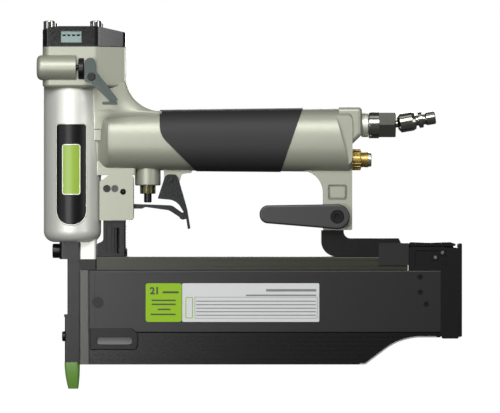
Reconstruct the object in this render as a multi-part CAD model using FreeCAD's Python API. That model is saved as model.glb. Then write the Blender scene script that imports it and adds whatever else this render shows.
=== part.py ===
import FreeCAD, Part
import math
import os

# Pneumatic 21 gauge pin and brad nailer with a side-opening magazine.
# Millimetres. +Z is up, +X runs from the nose towards the tail, -Y is the side with the labels.
# The driver axis is X = 0, Y = 0 and the work surface under the contact tip is Z = 0.

V = FreeCAD.Vector

# ---------------------------------------------------------------- fits
RUN = 0.06                    # radial clearance of a running fit
GAP = 0.3                     # gap between pieces that move past each other
SEAT = 0.05                   # radial clearance of a fastener or bush in its own hole

# ---------------------------------------------------------------- barrel and head casting
BARREL_R = 17.2
BARREL_BOTTOM = 87.9
BARREL_EDGE_R = 6.5
BORE_R = 14.5
BORE_FLOOR = 93.0
HEAD_BOTTOM = 180.0
HEAD_TOP = 204.3
HEAD_HALF = 19.5              # half width of the head block
HEAD_FACET_X = 15.5           # where the sides of the head turn in
HEAD_REAR = 32.1
HEAD_REAR_HALF = 10.0
HEAD_CORNER_R = 5.0

# ---------------------------------------------------------------- handle, neck and tail post
HANDLE_FRONT = 22.0
HANDLE_REAR = 167.7
HANDLE_Z = 148.8              # centre line at the front
HANDLE_RISE = 0.3             # rise of the centre line towards the rear
HANDLE_HALF_W = 16.4
HANDLE_HALF_H = 17.7
HANDLE_SWELL = 1.5            # the rear is this much taller each way
HANDLE_SQUARE = 2.5           # exponent of the rounded section
SECTION_POINTS = 40           # points that a rounded handle section is drawn through
HANDLE_WALL = 5.6
NECK_R = 21.5                 # concave sweep from the head down to the handle
NECK_HALF_W = 10.5
RESERVOIR_REAR = HANDLE_REAR - 17.7
POST_FRONT = HANDLE_REAR - 17.4
POST_BOTTOM = 95.1
POST_HALF_W = 6.0
POST_SWEEP_R = 13.0
POST_POCKET = 1.4
POCKET_LOW = 113.1            # square pocket on the side of the post
POCKET_HIGH = 122.3
TONGUE_HALF_W = 2.4
GRIP_FRONT = 52.6             # top corners of the rubber sleeve
GRIP_REAR = HANDLE_REAR - 28.8
GRIP_TURN = 3.2               # height over the handle axis where the front edge turns back
GRIP_RAKE = 15.1              # how far the rear edge leans forward over its height
REAR_FLAT = 12.6              # half width across the flats beside the inlet
BADGE_TOP = 158.4
BADGE_BOTTOM = 98.2
BADGE_HALF_W = 9.2
BADGE_RECESS = 0.8
PLATE_LOW = 116.4             # colour plate on the badge
PLATE_HIGH = 146.0
PLATE_HALF_W = 5.2

# ---------------------------------------------------------------- cap and head valve
GASKET_T = 0.5
CAP_FRONT_H = 9.9             # height of the cap at its front, crown and rear
CAP_CROWN_H = 11.8
CAP_REAR_H = 8.4
CAP_CHAMBER_R = 9.5
CAP_CHAMBER_H = 7.2
EXHAUST_W = 12.4
EXHAUST_H = 7.0
EXHAUST_LOW = 2.0             # exhaust slot above the cap's lower face
CAP_SCREW_FRONT = -13.2
CAP_SCREW_REAR = 14.6
CAP_SCREW_HALF = 14.2
CAP_SCREW_R = 2.4
CAP_SCREW_HEAD_R = 3.6
CAP_SCREW_HEAD_H = 5.4
CAP_SEAT_H = 9.8              # screw seats above the cap's lower face
CAP_SCREW_DEPTH = 14.0
HEX_SOCKET_R = 2.3
HEAD_VALVE_H = 8.0

# ---------------------------------------------------------------- cylinder, piston and driver
SLEEVE_R = 13.5
SLEEVE_BORE_R = 11.5
SLEEVE_TOP = 181.0
BUMPER_H = 7.0
BUMPER_HOLE_R = 3.4
PISTON_H = 9.0
PISTON_DROP = 1.5             # piston top below the sleeve top at rest
BLADE_X = 1.6
BLADE_Y = 1.0
BLADE_GAP = 0.1
VALVE_SEAT = SLEEVE_TOP + GAP
PISTON_TOP = SLEEVE_TOP - PISTON_DROP
DRIVER_TRAVEL = PISTON_TOP - PISTON_H - BORE_FLOOR - BUMPER_H - GAP
BLADE_TIP = 7.2 + DRIVER_TRAVEL
CAP_LOW = HEAD_TOP + GASKET_T

# ---------------------------------------------------------------- nose and contact element
CONTACT_TRAVEL = 7.0
TIP_TOP = 16.0
FOOT_TOP = 44.7
NOZZLE_BOTTOM = 8.0           # the fixed nozzle stands this far above the resting tip
NOZZLE_TOP = 24.6
NOZZLE_FRONT = -1.4
NOZZLE_REAR = 2.0
NOZZLE_HALF_W = 1.7
SPIGOT_FRONT = -2.6
SPIGOT_REAR = 3.3
SPIGOT_HALF_W = 2.9
GUIDE_FRONT = -2.9
GUIDE_REAR = 4.2
GUIDE_HALF_W = 4.0
FLANGE_BOTTOM = 77.7
FLANGE_FRONT = -7.5
FLANGE_HALF_W = 8.0
NOSE_SCREW_R = 4.3
NOSE_SCREW_HEAD_H = 4.4
NOSE_SCREW_Z = 82.6
FOOT_WALL = 1.2
LEG_REAR = 14.5
LEG_HALF_W = 6.0
LINK_T = 1.2
LINK_Y = 8.3                  # inner face of the link on the far side
LINK_LOW = 75.5
LINK_HIGH = 80.4
ROD_X = 30.2
ROD_R = 1.4
SPRING_FLOOR = 84.0
LEDGE_LOW = 97.5
LEDGE_TOP = 99.5
COLUMN_FRONT = 18.6
COLUMN_REAR = 31.9

# ---------------------------------------------------------------- guide block under the handle
BLOCK_FRONT = 16.5
BLOCK_REAR = 36.7
BLOCK_BOTTOM = 100.9
BLOCK_TOP = 128.1
BLOCK_HALF_W = 8.0
SLOT_HALF_W = 2.2

# ---------------------------------------------------------------- trigger, actuator arm and valve
TRIGGER_X = 59.4
TRIGGER_Z = 125.1
TRIGGER_HALF_W = 6.0
TRIGGER_SHEET = 1.7
TRIGGER_PIN_R = 1.5
TRIGGER_EAR_R = 3.4
ARM_X = 66.3
ARM_Z = 103.5
ARM_HALF_W = 2.5
ARM_PIN_R = 1.2
ARM_PIN_HEAD_R = 2.0
ARM_PIN_HEAD_T = 1.4
ARM_EYE_R = 2.0
ARM_LUG_HALF = ARM_HALF_W + 2.0
ARM_SHEET = 0.9               # wall of the pressed channel that the arm is made of
ARM_TAB = 6.0                 # solid length at the arm's free end
VALVE_X = 45.2
VALVE_BOSS_R = 7.7
VALVE_BOSS_BOTTOM = 121.8
VALVE_BODY_R = 4.7
VALVE_CAP_H = 5.0
STEM_R = 2.3
STEM_BOTTOM = 111.6
ARM_BOTTOM = 107.9            # free end of the actuator arm
ARM_TOP = 110.9
ARM_LIFT = 1.0                # rise of the arm's free end while the nose is pressed
LIFTER_TOP = ARM_BOTTOM + ARM_LIFT - CONTACT_TRAVEL - GAP
SLOT_TOP = 116.0

# ---------------------------------------------------------------- magazine
MAG_FRONT = 4.5
RAIL_FRONT = 14.7
RAIL_HALF_W = 6.0
RAIL_BOTTOM = 71.4
RAIL_TOP = 79.2
WEB_Y = 0.6                   # near face of the web, where the pins run
WEB_T = 3.0
COVER_HALF_W = 8.0
COVER_SKIN = 2.0
PANEL_FRONT = 10.6
SEAM_Z = 33.6
CHANNEL_BOTTOM = 14.7
TAIL_REACH = 52.8             # the magazine's end stands this far behind the handle
END_FRONT = HANDLE_REAR + TAIL_REACH
END_REAR = END_FRONT + 12.8
END_BOTTOM = 31.2
END_TOP = 87.2
RAIL_REAR = END_FRONT - 19.5
CHANNEL_REAR = END_FRONT - 45.0
WEB_BOTTOM = CHANNEL_BOTTOM + COVER_SKIN + GAP
LABEL_FRONT = 44.1
LABEL_SPLIT = 65.8
LABEL_REAR = END_FRONT - 72.6
LABEL_LOW = 40.2
LABEL_HIGH = 63.3
LABEL_T = 0.25
WINDOW_FRONT = 14.4
WINDOW_REAR = 35.9
WINDOW_LOW = 26.7
WINDOW_HIGH = 30.9
KEEPER_REAR = RAIL_REAR + 0.4
KEEPER_FRONT = KEEPER_REAR - 17.9
KEEPER_LOW = 74.2
KEEPER_TOP = 87.3
CAP_NOSE = KEEPER_REAR + GAP + 0.1   # front of the end cap's cheeks and of the latch
LATCH_X = END_FRONT + 1.1
LATCH_Z = 81.7
LATCH_PIN_R = 1.0
PIN_STEP_X = 4.3              # from the latch's pin to the stop pin
PIN_STEP_Z = 2.9
LATCH_REAR = END_REAR - 3.0
LATCH_SEAT = 84.6             # cheeks behind the pin, below the latch plate
LATCH_LOW = 85.6              # underside and top of the latch plate
LATCH_HIGH = 87.9
PUSHER_COIL_R = 3.4
PUSHER_COIL_X = 39.4

# ---------------------------------------------------------------- bracket and belt hook
HOOK_X = HANDLE_REAR - 9.1
HOOK_Z = 103.1
HOOK_R = 7.5
HOOK_LENGTH = 41.2            # pivot to the centre of the rounded end
HOOK_END_R = 5.2
HOOK_T = 3.4
HOOK_STANDOFF = 5.4
HOOK_SCREW_R = 2.5
HOOK_HEAD_R = 4.1
HOOK_NEAR = -POST_HALF_W - GAP / 3 - HOOK_STANDOFF - HOOK_T
BRACKET_STEP = HANDLE_REAR - 5.1     # rear of the bracket's upright

# ---------------------------------------------------------------- air inlet and silencer
INLET_Z = 158.1
INLET_BOSS_H = 10.4           # half height of the inlet boss
INLET_BOSS_REAR = HANDLE_REAR + 5.7
COLLAR_R = 7.3
COLLAR_T = 4.0
SPIGOT_R = 4.5
SPIGOT_L = 8.0
NUT_R = 8.0
NUT_ROUND = 6.0
NUT_L = 16.1
BALL_R = 4.0
BALL_INSET = 3.4              # ball centre inside the nut's rear face
PLUG_TILT = 9.5               # degrees above level
PLUG_BORE_R = 1.9
PLUG_TIP_R = 3.9
PLUG_END = 27.6
NUT_START = INLET_BOSS_REAR + COLLAR_T + GAP
BALL_X = NUT_START + NUT_L - BALL_INSET
SILENCER_Z = 137.3
SILENCER_R = 6.4

# ---------------------------------------------------------------- blow-off valve on the head
BLOW_Z = 192.0
BLOW_Y = -17.6
BLOW_R = 7.6
BLOW_FRONT = -20.4
BLOW_REAR = 2.9
PLUNGER_GAP = 1.5
PLUNGER_T = 3.3
PLUNGER_R = 6.6
PLUNGER_STEM_R = 1.5
PLUNGER_Y = -21.6             # stem axis, outside the flat of the head
LEVER_X = 12.3
LEVER_Z = 186.3
LEVER_T = 1.4
LEVER_LUG_T = 3.2
LEVER_PIN_R = 1.3
PLUNGER_FACE = BLOW_REAR + PLUNGER_GAP
LEVER_FACE = -HEAD_HALF - LEVER_LUG_T - GAP - LEVER_T


# ================================================================ helpers
def box(x0, x1, y0, y1, z0, z1):
    return Part.makeBox(x1 - x0, y1 - y0, z1 - z0, V(x0, y0, z0))


def rod(axis, radius, start, end, a, b):
    """Cylinder along axis "x", "y" or "z" from start to end; a, b are its other two coordinates."""
    if axis == "x":
        return Part.makeCylinder(radius, end - start, V(start, a, b), V(1, 0, 0))
    if axis == "y":
        return Part.makeCylinder(radius, end - start, V(a, start, b), V(0, 1, 0))
    return Part.makeCylinder(radius, end - start, V(a, b, start), V(0, 0, 1))


def outline(corners, place):
    """Closed wire through (u, v, radius) corners, each rounded; place maps (u, v) to a point."""
    count = len(corners)
    edges = []
    ends = []
    for i in range(count):
        here = V(corners[i][0], corners[i][1], 0)
        back = V(corners[i - 1][0], corners[i - 1][1], 0) - here
        ahead = V(corners[(i + 1) % count][0], corners[(i + 1) % count][1], 0) - here
        radius = corners[i][2]
        back.normalize()
        ahead.normalize()
        if radius <= 0:
            ends.append((here, here))
            continue
        half = math.acos(max(-1.0, min(1.0, back.dot(ahead)))) / 2
        reach = radius / math.tan(half)
        middle = back + ahead
        middle.normalize()
        first = here + back * reach
        last = here + ahead * reach
        crown = here + middle * (radius / math.sin(half) - radius)
        edges.append((i, Part.Arc(place(first), place(crown), place(last)).toShape()))
        ends.append((first, last))
    arcs = dict(edges)
    loop = []
    for i in range(count):
        if i in arcs:
            loop.append(arcs[i])
        start = ends[i][1]
        finish = ends[(i + 1) % count][0]
        if (finish - start).Length > 1e-6:
            loop.append(Part.LineSegment(place(start), place(finish)).toShape())
    return Part.Wire(loop)


def side_plate(corners, y0, y1):
    """Solid with a rounded outline of (x, z, radius) corners between y0 and y1."""
    wire = outline(corners, lambda p: V(p.x, y0, p.y))
    return Part.Face(wire).extrude(V(0, y1 - y0, 0))


def plan_plate(corners, z0, z1):
    """Solid with a rounded outline of (x, y, radius) corners between z0 and z1."""
    wire = outline(corners, lambda p: V(p.x, p.y, z0))
    return Part.Face(wire).extrude(V(0, 0, z1 - z0))


def end_plate(corners, x0, x1):
    """Solid with a rounded outline of (y, z, radius) corners between x0 and x1."""
    wire = outline(corners, lambda p: V(x0, p.x, p.y))
    return Part.Face(wire).extrude(V(x1 - x0, 0, 0))


def rounded_box(u0, u1, v0, v1, radius):
    return [(u0, v0, radius), (u1, v0, radius), (u1, v1, radius), (u0, v1, radius)]


def turned(axis, profile, origin):
    """Solid of revolution of (along, radius) points about an axis vector through origin."""
    side = V(0, 1, 0) if abs(axis.y) < 0.9 else V(1, 0, 0)
    side = axis.cross(side)
    side.normalize()
    points = [origin + axis * along + side * radius for along, radius in profile]
    face = Part.Face(Part.makePolygon(points + [points[0]]))
    return face.revolve(origin, axis, 360)


def fillet_where(solid, radius, test):
    edges = [edge for edge in solid.Edges if test(edge)]
    if not edges:
        return solid
    return solid.makeFillet(radius, edges)


def is_upright(edge):
    return edge.BoundBox.ZLength > 1.0 and edge.BoundBox.XLength < 0.01 and edge.BoundBox.YLength < 0.01


def spring(radius, wire, z0, z1, turns, x, y):
    """Compression spring about a vertical axis, drawn as a ribbed sleeve with one rib per turn."""
    profile = [(0, radius - wire / 2)]
    pitch = (z1 - z0) / turns
    for i in range(turns):
        low = i * pitch
        profile += [(low, radius + wire / 2), (low + 0.55 * pitch, radius + wire / 2)]
        if i < turns - 1:
            profile += [(low + 0.6 * pitch, radius), (low + 0.95 * pitch, radius)]
    profile[-1] = (z1 - z0, radius + wire / 2)
    profile.append((z1 - z0, radius - wire / 2))
    return turned(V(0, 0, 1), profile, V(x, y, z0))


def cap_screw(x, y, seat, radius, head_r, head_h, depth):
    """Socket head screw, head upwards on the plane z = seat."""
    screw = rod("z", head_r, seat, seat + head_h, x, y)
    screw = fillet_where(screw, 0.6, lambda e: e.BoundBox.ZMin > seat + head_h - 0.01)
    screw = screw.fuse(rod("z", radius, seat - depth, seat, x, y))
    socket = plan_plate(hexagon(x, y, HEX_SOCKET_R), seat + head_h - 3.0, seat + head_h + 1)
    return screw.cut(socket)


def hexagon(u, v, radius):
    return [(u + radius * math.cos(math.radians(60 * i)), v + radius * math.sin(math.radians(60 * i)), 0)
            for i in range(6)]


def save(name, shape):
    shape = shape.removeSplitter() if len(shape.Solids) == 1 else shape
    shape.exportStep("parts/" + name + ".step")
    print(name, "ok" if shape.isValid() else "INVALID", len(shape.Solids), round(shape.Volume, 1))


# ================================================================ casting
def handle_section(x, grow):
    """Rounded section of the handle at x, grown outwards by grow."""
    share = (x - HANDLE_FRONT) / (HANDLE_REAR - HANDLE_FRONT)
    centre = HANDLE_Z + HANDLE_RISE * share
    half_h = HANDLE_HALF_H + HANDLE_SWELL * share + grow
    half_w = HANDLE_HALF_W + grow
    points = []
    for i in range(SECTION_POINTS):
        angle = 2 * math.pi * i / SECTION_POINTS
        c = math.cos(angle)
        s = math.sin(angle)
        y = half_w * math.copysign(abs(c) ** (2 / HANDLE_SQUARE), c)
        z = half_h * math.copysign(abs(s) ** (2 / HANDLE_SQUARE), s)
        points.append(V(x, y, centre + z))
    curve = Part.BSplineCurve()
    curve.interpolate(points, PeriodicFlag=True)
    return Part.Wire([curve.toShape()])


def handle_body(grow, x0, x1):
    stations = [x0, (x0 + x1) / 2, x1]
    return Part.makeLoft([handle_section(x, grow) for x in stations], True, False)


def grip_outline():
    """Side outline of the rubber sleeve: an upright front edge that turns back at 45 degrees."""
    top = HANDLE_Z + HANDLE_HALF_H + 4
    bottom = HANDLE_Z - HANDLE_HALF_H - 4
    turn = HANDLE_Z + GRIP_TURN
    return [(GRIP_FRONT, top, 0), (GRIP_FRONT, turn, 14), (GRIP_FRONT + turn - bottom, bottom, 0),
            (GRIP_REAR - GRIP_RAKE, bottom, 0), (GRIP_REAR, top, 0)]


def grip_sleeve():
    sleeve = handle_body(0.4, GRIP_FRONT - 5, GRIP_REAR + 3).cut(
        handle_body(-1.6, GRIP_FRONT - 7, GRIP_REAR + 5))
    return sleeve.common(side_plate(grip_outline(), -30, 30))


def badge_blank(r_in, r_out, corners):
    ring = rod("z", r_out, BARREL_BOTTOM, HEAD_BOTTOM, 0, 0)
    ring = ring.cut(rod("z", r_in, BARREL_BOTTOM - 1, HEAD_BOTTOM + 1, 0, 0))
    return ring.common(side_plate(corners, -30, -6))


def badge_inlay():
    low = BADGE_HALF_W - 0.4
    corners = [(-BADGE_HALF_W, BADGE_TOP, 2.0), (BADGE_HALF_W, BADGE_TOP, 2.0), (low, BADGE_BOTTOM, 8.2),
               (-low, BADGE_BOTTOM, 8.2)]
    return badge_blank(BARREL_R - BADGE_RECESS, BARREL_R + 0.4, corners)


def badge_plate():
    return badge_blank(BARREL_R + 0.4, BARREL_R + 0.8, 
                       rounded_box(-PLATE_HALF_W, PLATE_HALF_W, PLATE_LOW, PLATE_HIGH, 1.2))


def head_plan():
    return [(-BARREL_R, -HEAD_HALF, HEAD_CORNER_R), (HEAD_FACET_X, -HEAD_HALF, 6.0),
            (HEAD_REAR, -HEAD_REAR_HALF, 3.0), (HEAD_REAR, HEAD_REAR_HALF, 3.0),
            (HEAD_FACET_X, HEAD_HALF, 6.0), (-BARREL_R, HEAD_HALF, HEAD_CORNER_R)]


def cap_screw_places():
    return [(x, y) for x in (CAP_SCREW_FRONT, CAP_SCREW_REAR) for y in (-CAP_SCREW_HALF, CAP_SCREW_HALF)]


def neck_web():
    """Web behind the head that sweeps down into the top of the handle."""
    x_foot = HEAD_REAR + NECK_R
    z_foot = HANDLE_Z + HANDLE_HALF_H - 0.4
    z_sweep = z_foot + NECK_R
    diagonal = NECK_R * math.sin(math.radians(45))
    mid = V(x_foot - diagonal, 0, z_sweep - diagonal)
    run = [V(4, 0, HEAD_TOP), V(HEAD_REAR, 0, HEAD_TOP), V(HEAD_REAR, 0, z_sweep)]
    edges = [Part.LineSegment(run[0], run[1]).toShape(), Part.LineSegment(run[1], run[2]).toShape()]
    edges.append(Part.Arc(run[2], mid, V(x_foot, 0, z_foot)).toShape())
    rest = [V(x_foot, 0, z_foot), V(x_foot, 0, HANDLE_Z), V(4, 0, HANDLE_Z), V(4, 0, HEAD_TOP)]
    for a, b in zip(rest, rest[1:]):
        edges.append(Part.LineSegment(a, b).toShape())
    face = Part.Face(Part.Wire(edges))
    face.translate(V(0, -NECK_HALF_W, 0))
    web = face.extrude(V(0, 2 * NECK_HALF_W, 0))
    return web


def casting_blank():
    barrel = rod("z", BARREL_R, BARREL_BOTTOM, HEAD_TOP, 0, 0)
    barrel = fillet_where(barrel, BARREL_EDGE_R, lambda e: e.BoundBox.ZMax < BARREL_BOTTOM + 0.01)
    head = plan_plate(head_plan(), HEAD_BOTTOM, HEAD_TOP)
    head = fillet_where(head, 2.0, lambda e: e.BoundBox.ZMax < HEAD_BOTTOM + 0.01)
    handle = handle_body(0, HANDLE_FRONT, HANDLE_REAR)
    handle = fillet_where(handle, 2.5, lambda e: e.BoundBox.XMin > HANDLE_REAR - 0.01)
    return barrel, head, handle


def casting():
    """One-piece barrel, head, handle, nose leg and tail post, bored for everything it carries."""
    barrel, head, handle = casting_blank()
    body = barrel.fuse(head)
    body = body.fuse(neck_web())
    body = body.fuse(handle)
    for side in (-20, REAR_FLAT):
        body = body.cut(side_plate(rear_flats(), side, side + 20 - REAR_FLAT))
    body = body.fuse(inlet_boss())
    body = body.fuse(nose_leg())
    body = body.fuse(tail_post())
    for extra in trigger_mounts():
        body = body.fuse(extra)
    body = body.fuse(blow_valve_boss())
    body = body.fuse(lever_lug())
    for hollow in casting_hollows():
        body = body.cut(hollow)
    body = body.cut(grip_sleeve())
    return body.cut(badge_inlay())


def rear_flats():
    """Outline of what is planed off each side of the handle's rear end, from a raked edge backwards."""
    high = HANDLE_Z + HANDLE_HALF_H + 6
    low = HANDLE_Z - HANDLE_HALF_H - 1.6
    return [(HANDLE_REAR - 12.4, high, 0), (HANDLE_REAR + 1, high, 0), (HANDLE_REAR + 1, low, 0),
            (HANDLE_REAR - 0.8, low, 0)]


def inlet_boss():
    """Flat-sided boss of the air inlet with a chamfer below."""
    high = INLET_Z + INLET_BOSS_H
    low = INLET_Z - INLET_BOSS_H - 1.1
    corners = [(HANDLE_REAR - 8, high, 0), (INLET_BOSS_REAR, high, 2.0),
               (INLET_BOSS_REAR, INLET_Z - 6.0, 1.0),
               (HANDLE_REAR, low, 1.5), (HANDLE_REAR - 8, low, 0)]
    boss = side_plate(corners, -REAR_FLAT + 1.6, REAR_FLAT - 1.6)
    return fillet_where(boss, 2.4, lambda e: e.BoundBox.ZMin > high - 0.01 and e.BoundBox.YLength < 0.01)


def nose_leg():
    leg = box(GUIDE_REAR, LEG_REAR, -LEG_HALF_W, LEG_HALF_W, FLANGE_BOTTOM, BORE_FLOOR)
    return fillet_where(leg, 1.5, is_upright)


def tail_post():
    low = HANDLE_Z - HANDLE_HALF_H
    corners = [(POST_FRONT - 16, low + 6, 0), (POST_FRONT - 15.9, low - 0.2, 0),
               (POST_FRONT, low - 1.0, POST_SWEEP_R),
               (POST_FRONT, POST_BOTTOM, 0.8), (HANDLE_REAR, POST_BOTTOM, 0.8), (HANDLE_REAR, low + 6, 0)]
    post = side_plate(corners, -POST_HALF_W, POST_HALF_W)
    pocket = rounded_box(POST_FRONT + 2.8, HANDLE_REAR - 3.1, POCKET_LOW, POCKET_HIGH, 1.2)
    frame_cut = side_plate(pocket, -POST_HALF_W - 1, -POST_HALF_W + POST_POCKET)
    island = rounded_box(POST_FRONT + 4.2, HANDLE_REAR - 4.5, POCKET_LOW + 1.4, POCKET_HIGH - 1.4, 0.6)
    frame_cut = frame_cut.cut(side_plate(island, -POST_HALF_W - 2, -POST_HALF_W + POST_POCKET + 1))
    return post.cut(frame_cut)


def trigger_mounts():
    """Pad for the guide block, boss of the trigger valve and lug of the trigger pin."""
    inside = HANDLE_Z - HANDLE_HALF_H + 5
    pad = box(BARREL_R - 4, BLOCK_REAR + 1.4, -BLOCK_HALF_W, BLOCK_HALF_W, BLOCK_TOP, inside)
    pad = fillet_where(pad, 1.2, lambda e: is_upright(e) and e.BoundBox.XMin > BARREL_R)
    boss = rod("z", VALVE_BOSS_R, VALVE_BOSS_BOTTOM, inside, VALVE_X, 0)
    boss = fillet_where(boss, 0.8, lambda e: e.BoundBox.ZMax < VALVE_BOSS_BOTTOM + 0.01)
    half = TRIGGER_HALF_W - TRIGGER_SHEET - GAP
    low = TRIGGER_Z - TRIGGER_EAR_R - 0.3
    corners = [(TRIGGER_X - 4.5, inside, 0), (TRIGGER_X - 4.5, low, 3.2), (TRIGGER_X + 4.0, low, 3.2),
               (TRIGGER_X + 6.0, TRIGGER_Z + 3.6, 2.0), (TRIGGER_X + 12.2, TRIGGER_Z + 4.4, 1.0),
               (TRIGGER_X + 12.2, inside, 0)]
    lug = side_plate(corners, -half, half)
    return [pad, boss, lug]


def blow_valve_boss():
    boss = rod("x", BLOW_R, BLOW_FRONT, BLOW_REAR, BLOW_Y, BLOW_Z)
    boss = fillet_where(boss, 3.0, lambda e: e.BoundBox.XMax < BLOW_FRONT + 0.01)
    return boss.cut(box(BLOW_FRONT - 1, BLOW_REAR + 1, 0, 20, BLOW_Z - 20, BLOW_Z + 20))


def lever_lug():
    corners = [(LEVER_X - 2.6, LEVER_Z - 3.0, 2.0), (LEVER_X + 3.0, LEVER_Z - 3.0, 2.0),
               (LEVER_X + 3.0, LEVER_Z + 3.2, 2.0), (LEVER_X - 2.6, LEVER_Z + 3.2, 2.0)]
    return side_plate(corners, -HEAD_HALF - LEVER_LUG_T, -HEAD_HALF + 3)


def casting_hollows():
    """Bores and passages of the casting."""
    hollows = [rod("z", BORE_R, BORE_FLOOR, HEAD_TOP + 1, 0, 0)]
    hollows.append(rod("z", BUMPER_HOLE_R, BARREL_BOTTOM - 1, BORE_FLOOR + 1, 0, 0))
    hollows.append(handle_body(-HANDLE_WALL, BARREL_R + 8, RESERVOIR_REAR))
    hollows.append(rod("x", 5.0, 8.0, BARREL_R + 14, 0, HANDLE_Z))
    hollows.append(rod("x", COLLAR_R - 1.2, INLET_BOSS_REAR - 12, INLET_BOSS_REAR + 1, 0, INLET_Z))
    hollows.append(rod("x", 4.0, RESERVOIR_REAR - 2, INLET_BOSS_REAR - 11, 0, INLET_Z))
    hollows.append(rod("x", 3.6, HANDLE_REAR - 7, HANDLE_REAR + 1, 0, SILENCER_Z))
    valve_top = HANDLE_Z - HANDLE_HALF_H + 8
    hollows.append(rod("z", VALVE_BODY_R - 0.7, VALVE_BOSS_BOTTOM - 1, valve_top, VALVE_X, 0))
    hollows.append(rod("y", TRIGGER_PIN_R, -TRIGGER_HALF_W, TRIGGER_HALF_W, TRIGGER_X, TRIGGER_Z))
    for x, y in cap_screw_places():
        hollows.append(rod("z", CAP_SCREW_R + SEAT, HEAD_TOP - CAP_SCREW_DEPTH, HEAD_TOP + 1, x, y))
    stem_bore = rod("x", PLUNGER_STEM_R + RUN, BLOW_REAR - 9, BLOW_REAR + 1, PLUNGER_Y, BLOW_Z)
    hollows.append(stem_bore)
    hollows.append(rod("y", LEVER_PIN_R, -HEAD_HALF - LEVER_LUG_T - 1, -HEAD_HALF + 1.5, LEVER_X, LEVER_Z))
    hollows.append(side_plate(bracket_tongue(GAP / 2), -TONGUE_HALF_W - GAP / 2, TONGUE_HALF_W + GAP / 2))
    hollows.append(rod("y", HOOK_SCREW_R + SEAT, -POST_HALF_W - 1, POST_HALF_W + 1, HOOK_X, HOOK_Z))
    return hollows


def bracket_tongue(grow):
    """Outline of the tongue that the tail bracket pushes up into the post."""
    return [(POST_FRONT + 2.6 - grow, POST_BOTTOM - 3, 0), (HANDLE_REAR - 4.0 + grow, POST_BOTTOM - 3, 0),
            (HANDLE_REAR - 4.0 + grow, HOOK_Z + 5.4 + grow, 2.0),
            (POST_FRONT + 2.6 - grow, HOOK_Z + 5.4 + grow, 2.0)]


# ================================================================ cylinder and piston
def cylinder_sleeve():
    outer = rod("z", SLEEVE_R, BORE_FLOOR, SLEEVE_TOP, 0, 0)
    outer = outer.fuse(rod("z", BORE_R - SEAT, SLEEVE_TOP - 5, SLEEVE_TOP - 3, 0, 0))
    return outer.cut(rod("z", SLEEVE_BORE_R, BORE_FLOOR - 1, SLEEVE_TOP + 1, 0, 0))


def sleeve_seal():
    """Two rings between the sleeve and the barrel bore."""
    rings = []
    for z in (BORE_FLOOR + 12, SLEEVE_TOP - 12):
        ring = rod("z", BORE_R, z, z + 2.4, 0, 0).cut(rod("z", SLEEVE_R, z - 1, z + 4, 0, 0))
        rings.append(ring)
    return Part.makeCompound(rings)


def bumper():
    ring = rod("z", SLEEVE_BORE_R - SEAT, BORE_FLOOR, BORE_FLOOR + BUMPER_H, 0, 0)
    ring = fillet_where(ring, 1.2, lambda e: e.BoundBox.ZMin > BORE_FLOOR + BUMPER_H - 0.01)
    return ring.cut(rod("z", BUMPER_HOLE_R, BORE_FLOOR - 1, BORE_FLOOR + BUMPER_H + 1, 0, 0))


def piston():
    base = PISTON_TOP - PISTON_H
    r = SLEEVE_BORE_R - RUN
    profile = [(0, 0), (0, r - 1.2), (1.2, r), (3.0, r), (3.0, r - 1.6), (5.4, r - 1.6), (5.4, r),
               (PISTON_H, r), (PISTON_H, 4.0), (PISTON_H - 2.5, 4.0), (PISTON_H - 2.5, 0)]
    body = turned(V(0, 0, 1), profile, V(0, 0, base))
    return body.cut(box(-BLADE_X / 2, BLADE_X / 2, -BLADE_Y / 2, BLADE_Y / 2, base - 1, base + 5))


def piston_seal():
    base = PISTON_TOP - PISTON_H
    ring = rod("z", SLEEVE_BORE_R - RUN, base + 3.0, base + 5.4, 0, 0)
    return ring.cut(rod("z", SLEEVE_BORE_R - RUN - 1.6, base + 2, base + 6, 0, 0))


def driver_blade():
    top = PISTON_TOP - PISTON_H + 5
    return box(-BLADE_X / 2, BLADE_X / 2, -BLADE_Y / 2, BLADE_Y / 2, BLADE_TIP, top)


# ================================================================ cap and head valve
def cap_gasket():
    plate = plan_plate(head_plan(), HEAD_TOP, CAP_LOW)
    plate = plate.cut(rod("z", BORE_R, HEAD_TOP - 1, CAP_LOW + 1, 0, 0))
    for x, y in cap_screw_places():
        plate = plate.cut(rod("z", CAP_SCREW_R + SEAT, HEAD_TOP - 1, CAP_LOW + 1, x, y))
    return plate


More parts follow.
